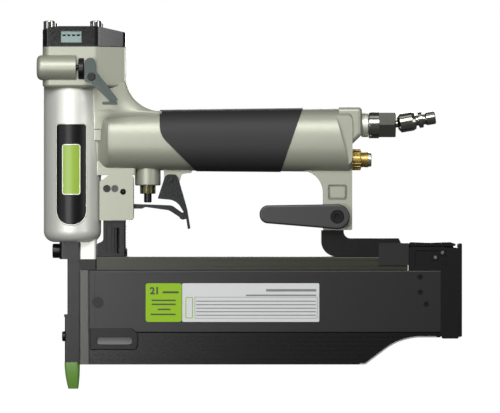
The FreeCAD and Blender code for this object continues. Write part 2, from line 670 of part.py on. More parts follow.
def head_cap():
    """Gloss cap: the head's outline under a crowned side profile, with seats for four screws."""
    low = CAP_LOW
    corners = [(-BARREL_R, low, 0), (-BARREL_R, low + CAP_FRONT_H, 1.2),
               (-BARREL_R + 9, low + CAP_CROWN_H, 12),
               (HEAD_FACET_X, low + CAP_CROWN_H, 20), (HEAD_REAR, low + CAP_REAR_H, 1.0), (HEAD_REAR, low, 0)]
    cap = side_plate(corners, -HEAD_HALF, HEAD_HALF)
    cap = cap.common(plan_plate(head_plan(), low, low + CAP_CROWN_H + 1))
    for x, y in cap_screw_places():
        cap = cap.cut(rod("z", CAP_SCREW_R + SEAT, low - 1, low + 30, x, y))
        cap = cap.cut(rod("z", CAP_SCREW_HEAD_R + 1.2, low + CAP_SEAT_H, low + 30, x, y))
    groove = box(-BARREL_R - 1, HEAD_FACET_X - 1, -HEAD_HALF - 1, -HEAD_HALF + 0.5, low + CAP_SEAT_H - 1.4,
                 low + CAP_SEAT_H - 0.9)
    cap = cap.cut(groove)
    cap = cap.cut(rod("z", CAP_CHAMBER_R, low - 1, low + CAP_CHAMBER_H, 0, 0))
    slot = box(-EXHAUST_W / 2, EXHAUST_W / 2, -HEAD_HALF - 1, -HEAD_HALF + 4.2, low + EXHAUST_LOW,
               low + EXHAUST_LOW + EXHAUST_H)
    duct = box(-EXHAUST_W / 2 + 1, EXHAUST_W / 2 - 1, -HEAD_HALF + 4, 0, low + EXHAUST_LOW,
               low + CAP_CHAMBER_H - 0.6)
    return cap.cut(slot).cut(duct)


def exhaust_grille():
    """Bright louvre plate set in the exhaust slot: a narrow bar above a broad one."""
    low = CAP_LOW + EXHAUST_LOW
    back = -HEAD_HALF + 1.0
    half = EXHAUST_W / 2 - SEAT
    plate = box(-half, half, back + 1.0, back + 2.2, low + SEAT, low + EXHAUST_H - SEAT)
    lower = box(-half, half, back, back + 1.1, low + SEAT, low + 0.52 * EXHAUST_H)
    upper = box(-half, half, back + 0.4, back + 1.1, low + 0.72 * EXHAUST_H, low + EXHAUST_H - SEAT)
    plate = plate.fuse([lower, upper])
    for i in range(4):
        x = (i - 1.5) * EXHAUST_W / 4.4
        plate = plate.cut(box(x - 0.9, x + 0.9, back - 1, back + 3,
                              low + 0.56 * EXHAUST_H, low + 0.68 * EXHAUST_H))
    return plate


def cap_screws():
    seat = CAP_LOW + CAP_SEAT_H
    depth = seat - HEAD_TOP + CAP_SCREW_DEPTH - 1
    screws = [cap_screw(x, y, seat, CAP_SCREW_R, CAP_SCREW_HEAD_R, CAP_SCREW_HEAD_H, depth)
              for x, y in cap_screw_places()]
    return Part.makeCompound(screws)


def head_valve():
    r = BORE_R - RUN
    profile = [(0, 0), (0, r), (HEAD_VALVE_H, r), (HEAD_VALVE_H, 7.0), (HEAD_VALVE_H + 4, 6.0),
               (HEAD_VALVE_H + 4, 0)]
    return turned(V(0, 0, 1), profile, V(0, 0, VALVE_SEAT))


def head_valve_spring():
    return spring(12.0, 1.6, VALVE_SEAT + HEAD_VALVE_H, CAP_LOW, 4, 0, 0)


# ================================================================ nose
def driver_guide():
    """Forged guide: flange under the barrel, channelled column and slim nozzle."""
    part_line = -BLADE_X / 2 - BLADE_GAP
    column = box(part_line, GUIDE_REAR, -GUIDE_HALF_W, GUIDE_HALF_W, NOZZLE_TOP, FLANGE_BOTTOM + 1)
    nozzle = box(NOZZLE_FRONT, NOZZLE_REAR, -NOZZLE_HALF_W, NOZZLE_HALF_W, NOZZLE_BOTTOM, NOZZLE_TOP)
    flange = box(FLANGE_FRONT, GUIDE_REAR, -FLANGE_HALF_W, FLANGE_HALF_W, FLANGE_BOTTOM, BARREL_BOTTOM)
    flange = fillet_where(flange, 2.0, lambda e: is_upright(e) and e.BoundBox.XMax < 0)
    guide = column.fuse([nozzle, flange])
    slot_x = BLADE_X / 2 + BLADE_GAP
    slot_y = BLADE_Y / 2 + BLADE_GAP
    guide = guide.cut(box(-slot_x, slot_x, -slot_y, slot_y, NOZZLE_BOTTOM - 1, BARREL_BOTTOM + 1))
    guide = guide.cut(box(slot_x - 0.1, GUIDE_REAR + 1, -slot_y, slot_y, WEB_BOTTOM, FLANGE_BOTTOM - 8))
    return guide.cut(rod("x", 2.0, FLANGE_FRONT - 1, GUIDE_REAR + 1, 0, NOSE_SCREW_Z).cut(
        box(-3, GUIDE_REAR + 2, -3, 3, 70, 90)))


def nose_plate():
    """Front plate that closes the driver channel."""
    part_line = -BLADE_X / 2 - BLADE_GAP
    plate = box(GUIDE_FRONT, part_line, -GUIDE_HALF_W, GUIDE_HALF_W, NOZZLE_TOP, FLANGE_BOTTOM)
    return fillet_where(plate, 0.8, lambda e: is_upright(e) and e.BoundBox.XMax < GUIDE_FRONT + 0.1)


def nose_screw():
    """Horizontal socket screw at the front of the nose flange."""
    start = FLANGE_FRONT - NOSE_SCREW_HEAD_H
    head = rod("x", NOSE_SCREW_R, start, FLANGE_FRONT, 0, NOSE_SCREW_Z)
    head = fillet_where(head, 0.6, lambda e: e.BoundBox.XMax < start + 0.01)
    head = head.fuse(rod("x", 1.95, FLANGE_FRONT, -3.05, 0, NOSE_SCREW_Z))
    return head.cut(end_plate(hexagon(0, NOSE_SCREW_Z, HEX_SOCKET_R), start - 1, start + 2.4))


def contact_foot():
    """Channel around the nose with a spigot for the no-mar tip."""
    front = GUIDE_FRONT - GAP - FOOT_WALL
    half = GUIDE_HALF_W + GAP + FOOT_WALL
    foot = box(front, GUIDE_REAR, -half, half, TIP_TOP, FOOT_TOP)
    foot = fillet_where(foot, 1.0, lambda e: is_upright(e) and e.BoundBox.XMax < front + 0.01)
    floor = TIP_TOP + 1.4
    inner = GUIDE_HALF_W + GAP
    foot = foot.cut(box(GUIDE_FRONT - GAP, GUIDE_REAR + 1, -inner, inner, floor, FOOT_TOP + 1))
    foot = foot.fuse(box(SPIGOT_FRONT, SPIGOT_REAR, -SPIGOT_HALF_W, SPIGOT_HALF_W,
                         TIP_TOP - 7, TIP_TOP + 0.1))
    band = box(front - 0.4, GUIDE_REAR, -half - 0.4, half + 0.4, FOOT_TOP - 1.6, FOOT_TOP)
    band = band.cut(box(front, GUIDE_REAR + 1, -half, half, FOOT_TOP - 3, FOOT_TOP + 1))
    foot = foot.fuse(band)
    return foot.cut(nozzle_way(TIP_TOP - 8, floor + 1))


def nozzle_way(z0, z1):
    return box(NOZZLE_FRONT - 0.2, NOZZLE_REAR + 0.2, -NOZZLE_HALF_W - 0.2, NOZZLE_HALF_W + 0.2, z0, z1)


def no_mar_tip():
    sections = [(TIP_TOP, -4.6, GUIDE_REAR, 5.5, 1.6), (TIP_TOP * 0.45, -3.9, 4.1, 4.9, 1.6),
                (0.0, -2.4, 3.4, 3.3, 1.2)]
    wires = []
    for z, x0, x1, half, radius in sections:
        wires.append(outline(rounded_box(x0, x1, -half, half, radius), lambda p, z=z: V(p.x, p.y, z)))
    tip = Part.makeLoft(wires, True, False)
    tip = tip.cut(box(SPIGOT_FRONT, SPIGOT_REAR, -SPIGOT_HALF_W, SPIGOT_HALF_W, TIP_TOP - 7, TIP_TOP + 1))
    return tip.cut(nozzle_way(-1, TIP_TOP))


def contact_screw():
    """Pan head screw that fixes the tip carrier to the foot."""
    front = GUIDE_FRONT - GAP - FOOT_WALL
    head = rod("x", 3.1, front - 1.8, front, 0, 31.4)
    return fillet_where(head, 0.9, lambda e: e.BoundBox.XMax < front - 1.79)


def contact_link():
    """Stamped arm on the far side, from the foot up and back to the lifter rod."""
    far = LINK_Y + LINK_T
    upright = side_plate([(GUIDE_FRONT, 30.0, 1.0), (GUIDE_REAR - 0.4, 30.0, 1.0),
                          (GUIDE_REAR - 0.4, LINK_LOW, 1.5), (ROD_X + 2.4, LINK_LOW, 1.5),
                          (ROD_X + 2.4, SPRING_FLOOR, 0.5), (ROD_X - 3.4, SPRING_FLOOR, 0.5),
                          (ROD_X - 3.4, LINK_HIGH, 1.5), (GUIDE_FRONT, LINK_HIGH, 1.5)], LINK_Y, far)
    foot_tab = box(GUIDE_FRONT, GUIDE_REAR - 0.4, GUIDE_HALF_W + GAP + FOOT_WALL, LINK_Y + 0.1, 30.0, 40.0)
    shelf = box(ROD_X - 2.4, ROD_X + 2.4, -2.4, LINK_Y + 0.1, SPRING_FLOOR - 1.8, SPRING_FLOOR)
    return upright.fuse([foot_tab, shelf]).cut(rod("z", ROD_R, 70, 100, ROD_X, 0))


def lifter_rod():
    """Bright rod that carries the contact element's travel up to the actuator arm."""
    shaft = rod("z", ROD_R, SPRING_FLOOR - 1.8, BLOCK_BOTTOM + 6.5, ROD_X, 0)
    tab = side_plate(rounded_box(ROD_X - 1.2, BLOCK_REAR - 0.6, LIFTER_TOP - 1.6, LIFTER_TOP, 0.3),
                     -SLOT_HALF_W + GAP, SLOT_HALF_W - GAP)
    return shaft.fuse(tab)


def contact_spring():
    return spring(1.9, 0.7, SPRING_FLOOR, LEDGE_LOW, 7, ROD_X, 0)


def spring_column():
    """Black moulding between the rail and the guide block with the ledge that holds the spring."""
    back = ROD_X - 3.6
    near = -5.0
    corners = [(RAIL_FRONT + 0.2, RAIL_TOP, 0), (back, RAIL_TOP, 0), (back, BLOCK_BOTTOM, 0),
               (COLUMN_FRONT, BLOCK_BOTTOM, 0), (COLUMN_FRONT, 88.5, 2.0), (RAIL_FRONT + 0.2, 87.0, 1.0)]
    column = side_plate(corners, near, -near)
    wall = box(back - 1, COLUMN_REAR, near, near + 1.9, RAIL_TOP, BLOCK_BOTTOM)
    column = column.fuse(wall)
    column = fillet_where(column, 0.8, lambda e: is_upright(e) and e.BoundBox.XMin > COLUMN_REAR - 0.01)
    ledge = box(back - 1, COLUMN_REAR, near + 0.5, 4.2, LEDGE_LOW, LEDGE_TOP)
    foot = box(back - 1, COLUMN_REAR, near + 0.5, 2.0, RAIL_TOP, RAIL_TOP + 1.6)
    column = column.fuse([ledge, foot])
    for x, width in ((COLUMN_FRONT + 2.0, 1.0), (COLUMN_FRONT + 5.0, 1.0)):
        column = column.cut(box(x, x + width, near - 1, near + 0.8, RAIL_TOP + 2, BLOCK_BOTTOM - 1.5))
    column = column.cut(box(back - 1.2, back + 1.8, near - 1, near + 1.9, RAIL_TOP + 2, LEDGE_LOW - 1))
    return column.cut(rod("z", ROD_R + RUN, LEDGE_LOW - 1, LEDGE_TOP + 1, ROD_X, 0))


def guide_block():
    corners = [(BLOCK_FRONT, BLOCK_BOTTOM, 0), (BLOCK_REAR, BLOCK_BOTTOM, 2.4), (BLOCK_REAR, BLOCK_TOP, 2.0),
               (BLOCK_FRONT + 6, BLOCK_TOP, 0), (BLOCK_FRONT, BLOCK_TOP - 4, 0)]
    block = side_plate(corners, -BLOCK_HALF_W, BLOCK_HALF_W)
    block = block.cut(rod("z", BARREL_R, BARREL_BOTTOM, HEAD_TOP, 0, 0))
    slot = box(ROD_X - 1.6, BLOCK_REAR + 1, -SLOT_HALF_W - 0.6, SLOT_HALF_W + 0.6, BLOCK_BOTTOM - 1, SLOT_TOP)
    block = block.cut(slot)
    block = block.cut(rod("z", ROD_R + RUN, BLOCK_BOTTOM - 1, SLOT_TOP + 4, ROD_X, 0))
    for x, z, r in block_screw_places():
        block = block.cut(rod("y", r, -BLOCK_HALF_W - 1, -BLOCK_HALF_W + 2.2, x, z))
    return block.cut(rod("y", 1.8, -BLOCK_HALF_W - 1, -BLOCK_HALF_W + 4, 30.6, 118.0))


def block_screw_places():
    return [(20.9, 119.9, 2.3), (25.7, 119.9, 2.2)]


def block_screws():
    screws = []
    for x, z, r in block_screw_places():
        head = rod("y", r - SEAT, -BLOCK_HALF_W + 0.3, -BLOCK_HALF_W + 2.2, x, z)
        socket = rod("y", 1.1, -BLOCK_HALF_W - 1, -BLOCK_HALF_W + 1.4, x, z)
        screws.append(head.cut(socket))
    return Part.makeCompound(screws)


# ================================================================ trigger group
def trigger():
    """Pressed steel trigger: two ears on the pin, a concave finger face and a tapering tail."""
    x = TRIGGER_X
    z = TRIGGER_Z
    corners = [(x - 3.4, z + 3.4, 3.3), (x + 3.4, z + 3.4, 3.3), (x + 6.6, z - 7.5, 12),
               (x + 9.3, z - 17.0, 20), (x + 11.3, z - 29.0, 0.5), (x + 9.9, z - 29.6, 0.5),
               (x + 8.6, z - 21.5, 9.0), (x + 3.2, z - 12.2, 9.0),
               (x - 8.2, z - 11.2, 0.5)]
    body = side_plate(corners, -TRIGGER_HALF_W, TRIGGER_HALF_W)
    inner = TRIGGER_HALF_W - TRIGGER_SHEET
    body = body.cut(box(x - 12, x + 3.9, -inner, inner, z - 9.8, z + 6))
    body = body.cut(rod("y", TRIGGER_EAR_R + 1.7, -inner, inner, x, z))
    lugs = rod("y", ARM_EYE_R + 0.2, -ARM_LUG_HALF, ARM_LUG_HALF, ARM_X, ARM_Z)
    web = box(ARM_X, ARM_X + 2.2, -ARM_LUG_HALF, ARM_LUG_HALF, ARM_Z - 1.8, ARM_Z + 1.4)
    body = body.fuse([lugs, web])
    half = ARM_HALF_W + GAP
    body = body.cut(rod("y", ARM_EYE_R + GAP, -half, half, ARM_X, ARM_Z))
    body = body.cut(side_plate([(ARM_X - 5, ARM_Z - 2.2, 0), (ARM_X, ARM_Z - 2.1, 0),
                                (ARM_X + 1.9, ARM_Z + 1.2, 0),
                                (ARM_X - 0.6, ARM_Z + 5.2, 0), (ARM_X - 5, ARM_Z + 7.5, 0)], -half, half))
    body = body.cut(rod("y", ARM_PIN_R + SEAT, -20, 20, ARM_X, ARM_Z))
    for y0, y1 in ((-20, -ARM_LUG_HALF), (ARM_LUG_HALF, 20)):
        body = body.cut(rod("y", ARM_PIN_HEAD_R + GAP, y0, y1, ARM_X, ARM_Z))
    return body.cut(rod("y", TRIGGER_PIN_R + RUN, -20, 20, x, z))


def trigger_pin():
    pin = rod("y", TRIGGER_PIN_R, -TRIGGER_HALF_W - 0.6, TRIGGER_HALF_W + 0.6, TRIGGER_X, TRIGGER_Z)
    return fillet_where(pin, 0.4, lambda e: True)


def arm_pin():
    """Headed pin through the trigger's lugs and the eye of the arm."""
    end = ARM_LUG_HALF + ARM_PIN_HEAD_T
    pin = rod("y", ARM_PIN_R, -end, end, ARM_X, ARM_Z)
    heads = [rod("y", ARM_PIN_HEAD_R, ARM_LUG_HALF, end, ARM_X, ARM_Z),
             rod("y", ARM_PIN_HEAD_R, -end, -ARM_LUG_HALF, ARM_X, ARM_Z)]
    return pin.fuse(heads)


def actuator_arm():
    """Pressed channel lever, open below, from the trigger's tail to the slot of the guide block."""
    left = ROD_X + 2.6
    corners = [(left, ARM_BOTTOM, 1.2), (VALVE_X - 3.4, ARM_BOTTOM, 1.5), (VALVE_X - 1.6, 108.9, 3.0),
               (58.0, 106.9, 5.0), (ARM_X - 1.6, ARM_Z - 1.0, 0), (ARM_X + 0.6, ARM_Z + 1.2, 0),
               (59.8, 109.9, 5.0), (left, ARM_TOP, 0.8)]
    half = SLOT_HALF_W - GAP / 2
    arm = side_plate(corners, -half, half)
    inside = [(left + ARM_TAB, ARM_Z - 0.4, 0), (left + ARM_TAB, ARM_TOP - ARM_SHEET, 0),
              (59.3, 109.9 - ARM_SHEET, 4.0), (63.3, 106.2, 0), (61.0, ARM_Z - 0.4, 0)]
    arm = arm.cut(side_plate(inside, -half + ARM_SHEET, half - ARM_SHEET))
    arm = arm.fuse(rod("y", ARM_EYE_R, -ARM_HALF_W, ARM_HALF_W, ARM_X, ARM_Z))
    return arm.cut(rod("y", ARM_PIN_R + RUN, -20, 20, ARM_X, ARM_Z))


def trigger_valve_body():
    """Valve bush in the boss: plug above, knurled cap below."""
    low = VALVE_BOSS_BOTTOM - VALVE_CAP_H
    cap = rod("z", VALVE_BODY_R, low, VALVE_BOSS_BOTTOM, VALVE_X, 0)
    cap = fillet_where(cap, 0.5, lambda e: e.BoundBox.ZMax < low + 0.01)
    plug = rod("z", VALVE_BODY_R - 0.7, VALVE_BOSS_BOTTOM - 1, HANDLE_Z - HANDLE_HALF_H + 6, VALVE_X, 0)
    body = cap.fuse(plug)
    for i in range(12):
        angle = math.radians(30 * i)
        body = body.cut(rod("z", 0.5, low - 1, VALVE_BOSS_BOTTOM - 1,
                            VALVE_X + VALVE_BODY_R * math.cos(angle), VALVE_BODY_R * math.sin(angle)))
    return body.cut(rod("z", STEM_R + RUN, low - 1, low + 14, VALVE_X, 0))


def valve_stem():
    stem = rod("z", STEM_R, STEM_BOTTOM, VALVE_BOSS_BOTTOM + 4, VALVE_X, 0)
    return fillet_where(stem, 0.7, lambda e: e.BoundBox.ZMax < STEM_BOTTOM + 0.01)


# ================================================================ magazine
def magazine_rail():
    """Fixed extrusion: top bar, web behind the pins and stiffening ribs on the far side."""
    bar = box(RAIL_FRONT, RAIL_REAR, -RAIL_HALF_W, RAIL_HALF_W, RAIL_BOTTOM, RAIL_TOP)
    bar = fillet_where(bar, 0.8, lambda e: e.BoundBox.ZMin > RAIL_TOP - 0.01 and e.BoundBox.YLength < 0.01)
    bar = bar.cut(box(RAIL_FRONT - 1, RAIL_REAR + 1, -5.3, -3.1, RAIL_BOTTOM - 1, RAIL_BOTTOM + 3))
    for z in (RAIL_BOTTOM + 1.5, RAIL_TOP - 2.6):
        bar = bar.cut(box(RAIL_FRONT - 1, RAIL_REAR + 1, -RAIL_HALF_W - 1, -RAIL_HALF_W + 0.4, z, z + 0.5))
    web = side_plate([(MAG_FRONT, WEB_BOTTOM, 0), (CHANNEL_REAR - 2.4, WEB_BOTTOM, 3.0),
                      (CHANNEL_REAR + 19.5, SEAM_Z + 0.4, 34.0), (RAIL_REAR, SEAM_Z + 0.4, 0),
                      (RAIL_REAR, RAIL_BOTTOM, 0), (MAG_FRONT, RAIL_BOTTOM, 0)], WEB_Y, WEB_Y + WEB_T)
    rail = bar.fuse(web)
    for z in (SEAM_Z + 4, 52.0, RAIL_BOTTOM - 3.5):
        rib = box(RAIL_FRONT, RAIL_REAR, WEB_Y + WEB_T, RAIL_HALF_W, z, z + 3.5)
        rail = rail.fuse(rib)
    return rail


def front_junction():
    """Black block that bolts the rail to the nose leg."""
    block = box(GUIDE_REAR, RAIL_FRONT, -LEG_HALF_W, LEG_HALF_W, RAIL_BOTTOM, FLANGE_BOTTOM)
    return fillet_where(block, 0.8, lambda e: is_upright(e) and e.BoundBox.XMin > RAIL_FRONT - 0.1
                        and e.BoundBox.YMax < 0)


def cover_panel():
    """Near side of the sliding cover, with the rib that runs in the rail."""
    near = -COVER_HALF_W
    inner = near + COVER_SKIN
    top = RAIL_BOTTOM - GAP
    panel = box(PANEL_FRONT, END_FRONT, near, inner, SEAM_Z, top)
    panel = fillet_where(panel, 0.8, lambda e: e.BoundBox.YMax < near + 0.01 and e.BoundBox.XLength > 10)
    flange = box(PANEL_FRONT + 5, END_FRONT, inner, -2.8, top - 1.8, top)
    rib = box(PANEL_FRONT + 6, END_FRONT - 20, -5.0, -3.4, top, RAIL_BOTTOM + 2.7)
    panel = panel.fuse([flange, rib])
    for z in (SEAM_Z + 2.4, 51.0, 64.0):
        panel = panel.fuse(box(PANEL_FRONT + 5, END_FRONT, inner, -0.75, z, z + 1.6))
    panel = panel.cut(box(PANEL_FRONT + 3.1, PANEL_FRONT + 3.8, near - 1, near + 0.5, SEAM_Z - 1, top + 1))
    for x, z, r in panel_screw_places():
        panel = panel.cut(rod("y", r, near - 1, near + 1.3, x, z))
    return panel


def panel_screw_places():
    rear = END_FRONT - 12.2
    return [(PANEL_FRONT + 4.9, 51.9, 3.4), (rear, 67.0, 1.6), (rear, 57.9, 1.6), (rear + 3.6, 50.7, 1.6)]


def panel_screws():
    screws = []
    for x, z, r in panel_screw_places():
        near = -COVER_HALF_W
        head = rod("y", r - SEAT, near + 0.35, near + 1.3, x, z)
        screws.append(head.cut(rod("y", r * 0.42, near - 1, near + 0.9, x, z)))
    return Part.makeCompound(screws)


def front_strip():
    """Hardened strip at the front edge of the cover."""
    top = RAIL_BOTTOM - GAP
    strip = box(MAG_FRONT, PANEL_FRONT, -COVER_HALF_W - 0.2, -COVER_HALF_W + COVER_SKIN, CHANNEL_BOTTOM, top)
    strip = strip.cut(box(PANEL_FRONT - 1.1, PANEL_FRONT, -COVER_HALF_W - 1, -COVER_HALF_W + 0.8,
                          SEAM_Z, top + 1))
    return fillet_where(strip, 0.4, lambda e: is_upright(e) and e.BoundBox.XMax < MAG_FRONT + 0.1)


def channel_profile():
    """Side outline of the lower channel with its S-shaped tail."""
    return [(PANEL_FRONT, CHANNEL_BOTTOM, 0), (CHANNEL_REAR, CHANNEL_BOTTOM, 3.0),
            (CHANNEL_REAR + 21.5, SEAM_Z - 2.7, 36.0), (END_FRONT, SEAM_Z - 2.7, 0), (END_FRONT, SEAM_Z, 0),
            (PANEL_FRONT, SEAM_Z, 0)]


def cover_channel():
    """Ribbed lower half of the cover, wrapped round the foot of the rail's web."""
    outer = side_plate(channel_profile(), -COVER_HALF_W, COVER_HALF_W)
    inner = COVER_HALF_W - COVER_SKIN
    floor = CHANNEL_BOTTOM + COVER_SKIN
    hollow = [(PANEL_FRONT - 1, floor, 0), (CHANNEL_REAR - 1.4, floor, 3.0),
              (CHANNEL_REAR + 19.8, SEAM_Z - 0.9, 35.0), (END_FRONT - 2, SEAM_Z - 0.9, 0),
              (END_FRONT - 2, SEAM_Z + 1, 0), (PANEL_FRONT - 1, SEAM_Z + 1, 0)]
    channel = outer.cut(side_plate(hollow, -inner, inner))
    for y in (WEB_Y - GAP - 0.9, WEB_Y + WEB_T + GAP):
        rib = box(PANEL_FRONT, CHANNEL_REAR, y, y + 0.9, floor - 0.5, floor + 3.0)
        channel = channel.fuse(rib)
    for i in range(6):
        z = CHANNEL_BOTTOM + 2.4 + 2.7 * i
        for side in (-1, 1):
            y0 = min(side * COVER_HALF_W, side * (COVER_HALF_W - 0.5))
            start = WINDOW_REAR + 4.5 if side < 0 and z > WINDOW_LOW - 4.5 else PANEL_FRONT - 1
            channel = channel.cut(box(start, END_FRONT + 1, y0 - 0.01, y0 + 0.51, z, z + 0.7))
    window = side_plate(rounded_box(WINDOW_FRONT, WINDOW_REAR, WINDOW_LOW, WINDOW_HIGH, 1.8), -20, 0)
    return channel.cut(window)


def window_frame():
    """Raised frame round the slot that shows how many pins are left."""
    z0 = WINDOW_LOW - 3.2
    z1 = WINDOW_HIGH + 5.6
    front = PANEL_FRONT + 0.2
    rear = WINDOW_REAR + 3.8
    corners = [(front, z0, 1.0), (rear - 1.4, z0, 1.5), (rear, z0 + 2.6, 1.5), (rear, z1 - 3.4, 3.0),
               (rear - 4.0, z1, 2.0), (front, z1, 1.0)]
    frame = side_plate(corners, -COVER_HALF_W - 0.9, -COVER_HALF_W)
    frame = fillet_where(frame, 0.5, lambda e: e.BoundBox.YMax < -COVER_HALF_W - 0.89)
    opening = rounded_box(WINDOW_FRONT, WINDOW_REAR, WINDOW_LOW, WINDOW_HIGH, 1.8)
    return frame.cut(side_plate(opening, -20, 0))


def pusher():
    """Pin follower: a thin blade in the pin channel and a block that runs behind the window."""
    blade = box(MAG_FRONT + 2.2, MAG_FRONT + 8, -0.45, 0.4, WEB_BOTTOM + 3.4, RAIL_BOTTOM - 3.2)
    block = side_plate([(MAG_FRONT + 6, 24.6, 1.0), (44.0, 24.6, 2.0), (44.0, 32.8, 2.0),
                        (MAG_FRONT + 6, 32.8, 1.0)],
                       -COVER_HALF_W + COVER_SKIN + GAP, -0.2)
    body = blade.fuse(block)
    return body.cut(rod("y", PUSHER_COIL_R + GAP, -6, -1.2, PUSHER_COIL_X, 28.7))


def pusher_spring():
    """Rolled constant-force strip carried in the follower's pocket."""
    roll = rod("y", PUSHER_COIL_R, -5.4, -1.2, PUSHER_COIL_X, 28.7)
    return roll.cut(rod("y", 1.6, -6, -1.0, PUSHER_COIL_X, 28.7))


def latch_pin_places():
    return [(LATCH_X, LATCH_Z), (LATCH_X - PIN_STEP_X, LATCH_Z - PIN_STEP_Z)]


def end_cap():
    """Rear end of the sliding cover: an end wall and two cheeks with the latch's slot between them."""
    top = RAIL_BOTTOM - GAP
    corners = [(CAP_NOSE, top, 0), (END_FRONT, top, 0), (END_FRONT, END_BOTTOM, 1.0),
               (END_REAR, END_BOTTOM, 1.0), (END_REAR, END_TOP, 0.8), (END_REAR - 1.9, END_TOP, 0.4),
               (END_REAR - 2.3, LATCH_SEAT, 0.4), (LATCH_X + 1.9, LATCH_SEAT, 0.5),
               (LATCH_X + 1.0, LATCH_LOW - 0.5, 0.3),
               (CAP_NOSE, LATCH_LOW - 0.5, 1.0)]
    cap = side_plate(corners, -COVER_HALF_W, COVER_HALF_W)
    toe = rounded_box(END_FRONT + 0.6, END_REAR - 2.0, END_BOTTOM - 1, 44.6, 1.0)
    cap = cap.fuse(side_plate(toe, -COVER_HALF_W - 0.6, -COVER_HALF_W + 1))
    cap = cap.cut(box(CAP_NOSE - 1, END_REAR - 3.6, -2.7, 2.7, RAIL_BOTTOM + 4.6, END_TOP + 2))
    for y in (-COVER_HALF_W, COVER_HALF_W - 1.0):
        pocket = rounded_box(CAP_NOSE + 3.4, END_FRONT + 3.6, RAIL_BOTTOM + 1.6, LATCH_LOW - 2.6, 1.0)
        cap = cap.cut(side_plate(pocket, y, y + 1.0))
    for x, z in latch_pin_places():
        boss = rod("y", LATCH_PIN_R + 0.9, -COVER_HALF_W + 0.2, -COVER_HALF_W + 1.1, x, z)
        cap = cap.fuse(boss)
    for x, z in latch_pin_places():
        cap = cap.cut(rod("y", LATCH_PIN_R, -20, 20, x, z))
    return cap


def latch_pins():
    half = COVER_HALF_W + 0.4
    return Part.makeCompound([rod("y", LATCH_PIN_R - SEAT, -half, half, x, z) for x, z in latch_pin_places()])


def latch():
    """Thumb latch: bright top plate with turned-down ends and a long web on the pin, hooked in front."""
    plate = side_plate([(CAP_NOSE + 0.1, LATCH_LOW, 0.5), (LATCH_REAR - 1.0, LATCH_LOW, 0.8),
                        (LATCH_REAR - 0.6, LATCH_HIGH - 1.2, 0.6), (LATCH_REAR - 4.0, LATCH_HIGH, 2.0),
                        (CAP_NOSE + 12.0, LATCH_HIGH - 0.4, 6.0), (CAP_NOSE + 0.1, LATCH_HIGH, 0.8)],
                        -7.4, 7.4)
    hook = LATCH_X - PIN_STEP_X - LATCH_PIN_R - 1.6
    web = side_plate([(CAP_NOSE + 0.1, LATCH_Z - 2.4, 0.6), (hook, LATCH_Z - 2.4, 0.6),
                      (hook + 1.2, LATCH_Z + 0.4, 0.6),
                      (LATCH_X - 2.2, LATCH_Z + 0.2, 0.6), (LATCH_X - 2.0, LATCH_Z - 2.2, 1.6),
                      (LATCH_X + 2.2, LATCH_Z - 2.2, 1.6), (LATCH_X + 3.2, LATCH_Z + 0.6, 1.0),
                      (LATCH_REAR - 1.8, LATCH_Z + 1.4, 0.5), (LATCH_REAR - 1.8, LATCH_LOW + 0.6, 0),
                      (CAP_NOSE + 0.1, LATCH_LOW + 0.6, 0)], -1.5, 1.5)
    body = plate.fuse(web)
    return body.cut(rod("y", LATCH_PIN_R + RUN, -20, 20, LATCH_X, LATCH_Z))


def label(x0, x1, radius):
    outline = rounded_box(x0, x1, LABEL_LOW, LABEL_HIGH, radius)
    return side_plate(outline, -COVER_HALF_W - LABEL_T, -COVER_HALF_W)


# ================================================================ bracket and belt hook
def tail_bracket():
    """Black S-bracket from the tail post down and back to the rail."""
    corners = [(POST_FRONT - 1.0, POST_BOTTOM, 0), (POST_FRONT - 1.0, RAIL_TOP, 9.0),
               (KEEPER_FRONT, RAIL_TOP, 0), (KEEPER_FRONT, KEEPER_TOP, 0),
               (KEEPER_FRONT + 13.4, KEEPER_TOP, 0), (KEEPER_FRONT + 12.0, 90.2, 1.0),
               (BRACKET_STEP, 90.2, 4.0), (BRACKET_STEP, POST_BOTTOM, 0)]
    bracket = side_plate(corners, -POST_HALF_W, POST_HALF_W)
    bracket = bracket.fuse(side_plate(bracket_tongue(0), -TONGUE_HALF_W, TONGUE_HALF_W).cut(
        box(BRACKET_STEP, HANDLE_REAR + 8, -9, 9, RAIL_TOP, POST_BOTTOM)))
    return bracket.cut(rod("y", HOOK_SCREW_R + SEAT, -9, 9, HOOK_X, HOOK_Z))


def keeper_block():
    """Saddle over the rail's rear end that the latch closes against."""
    corners = [(KEEPER_FRONT, KEEPER_LOW, 0), (KEEPER_REAR, KEEPER_LOW, 0), (KEEPER_REAR, KEEPER_TOP, 1.0),
               (KEEPER_FRONT, KEEPER_TOP, 0)]
    block = side_plate(corners, -7.5, 7.5)
    return block.cut(box(KEEPER_FRONT - 1, KEEPER_REAR + 1, -RAIL_HALF_W, RAIL_HALF_W,
                         KEEPER_LOW - 1, RAIL_TOP))


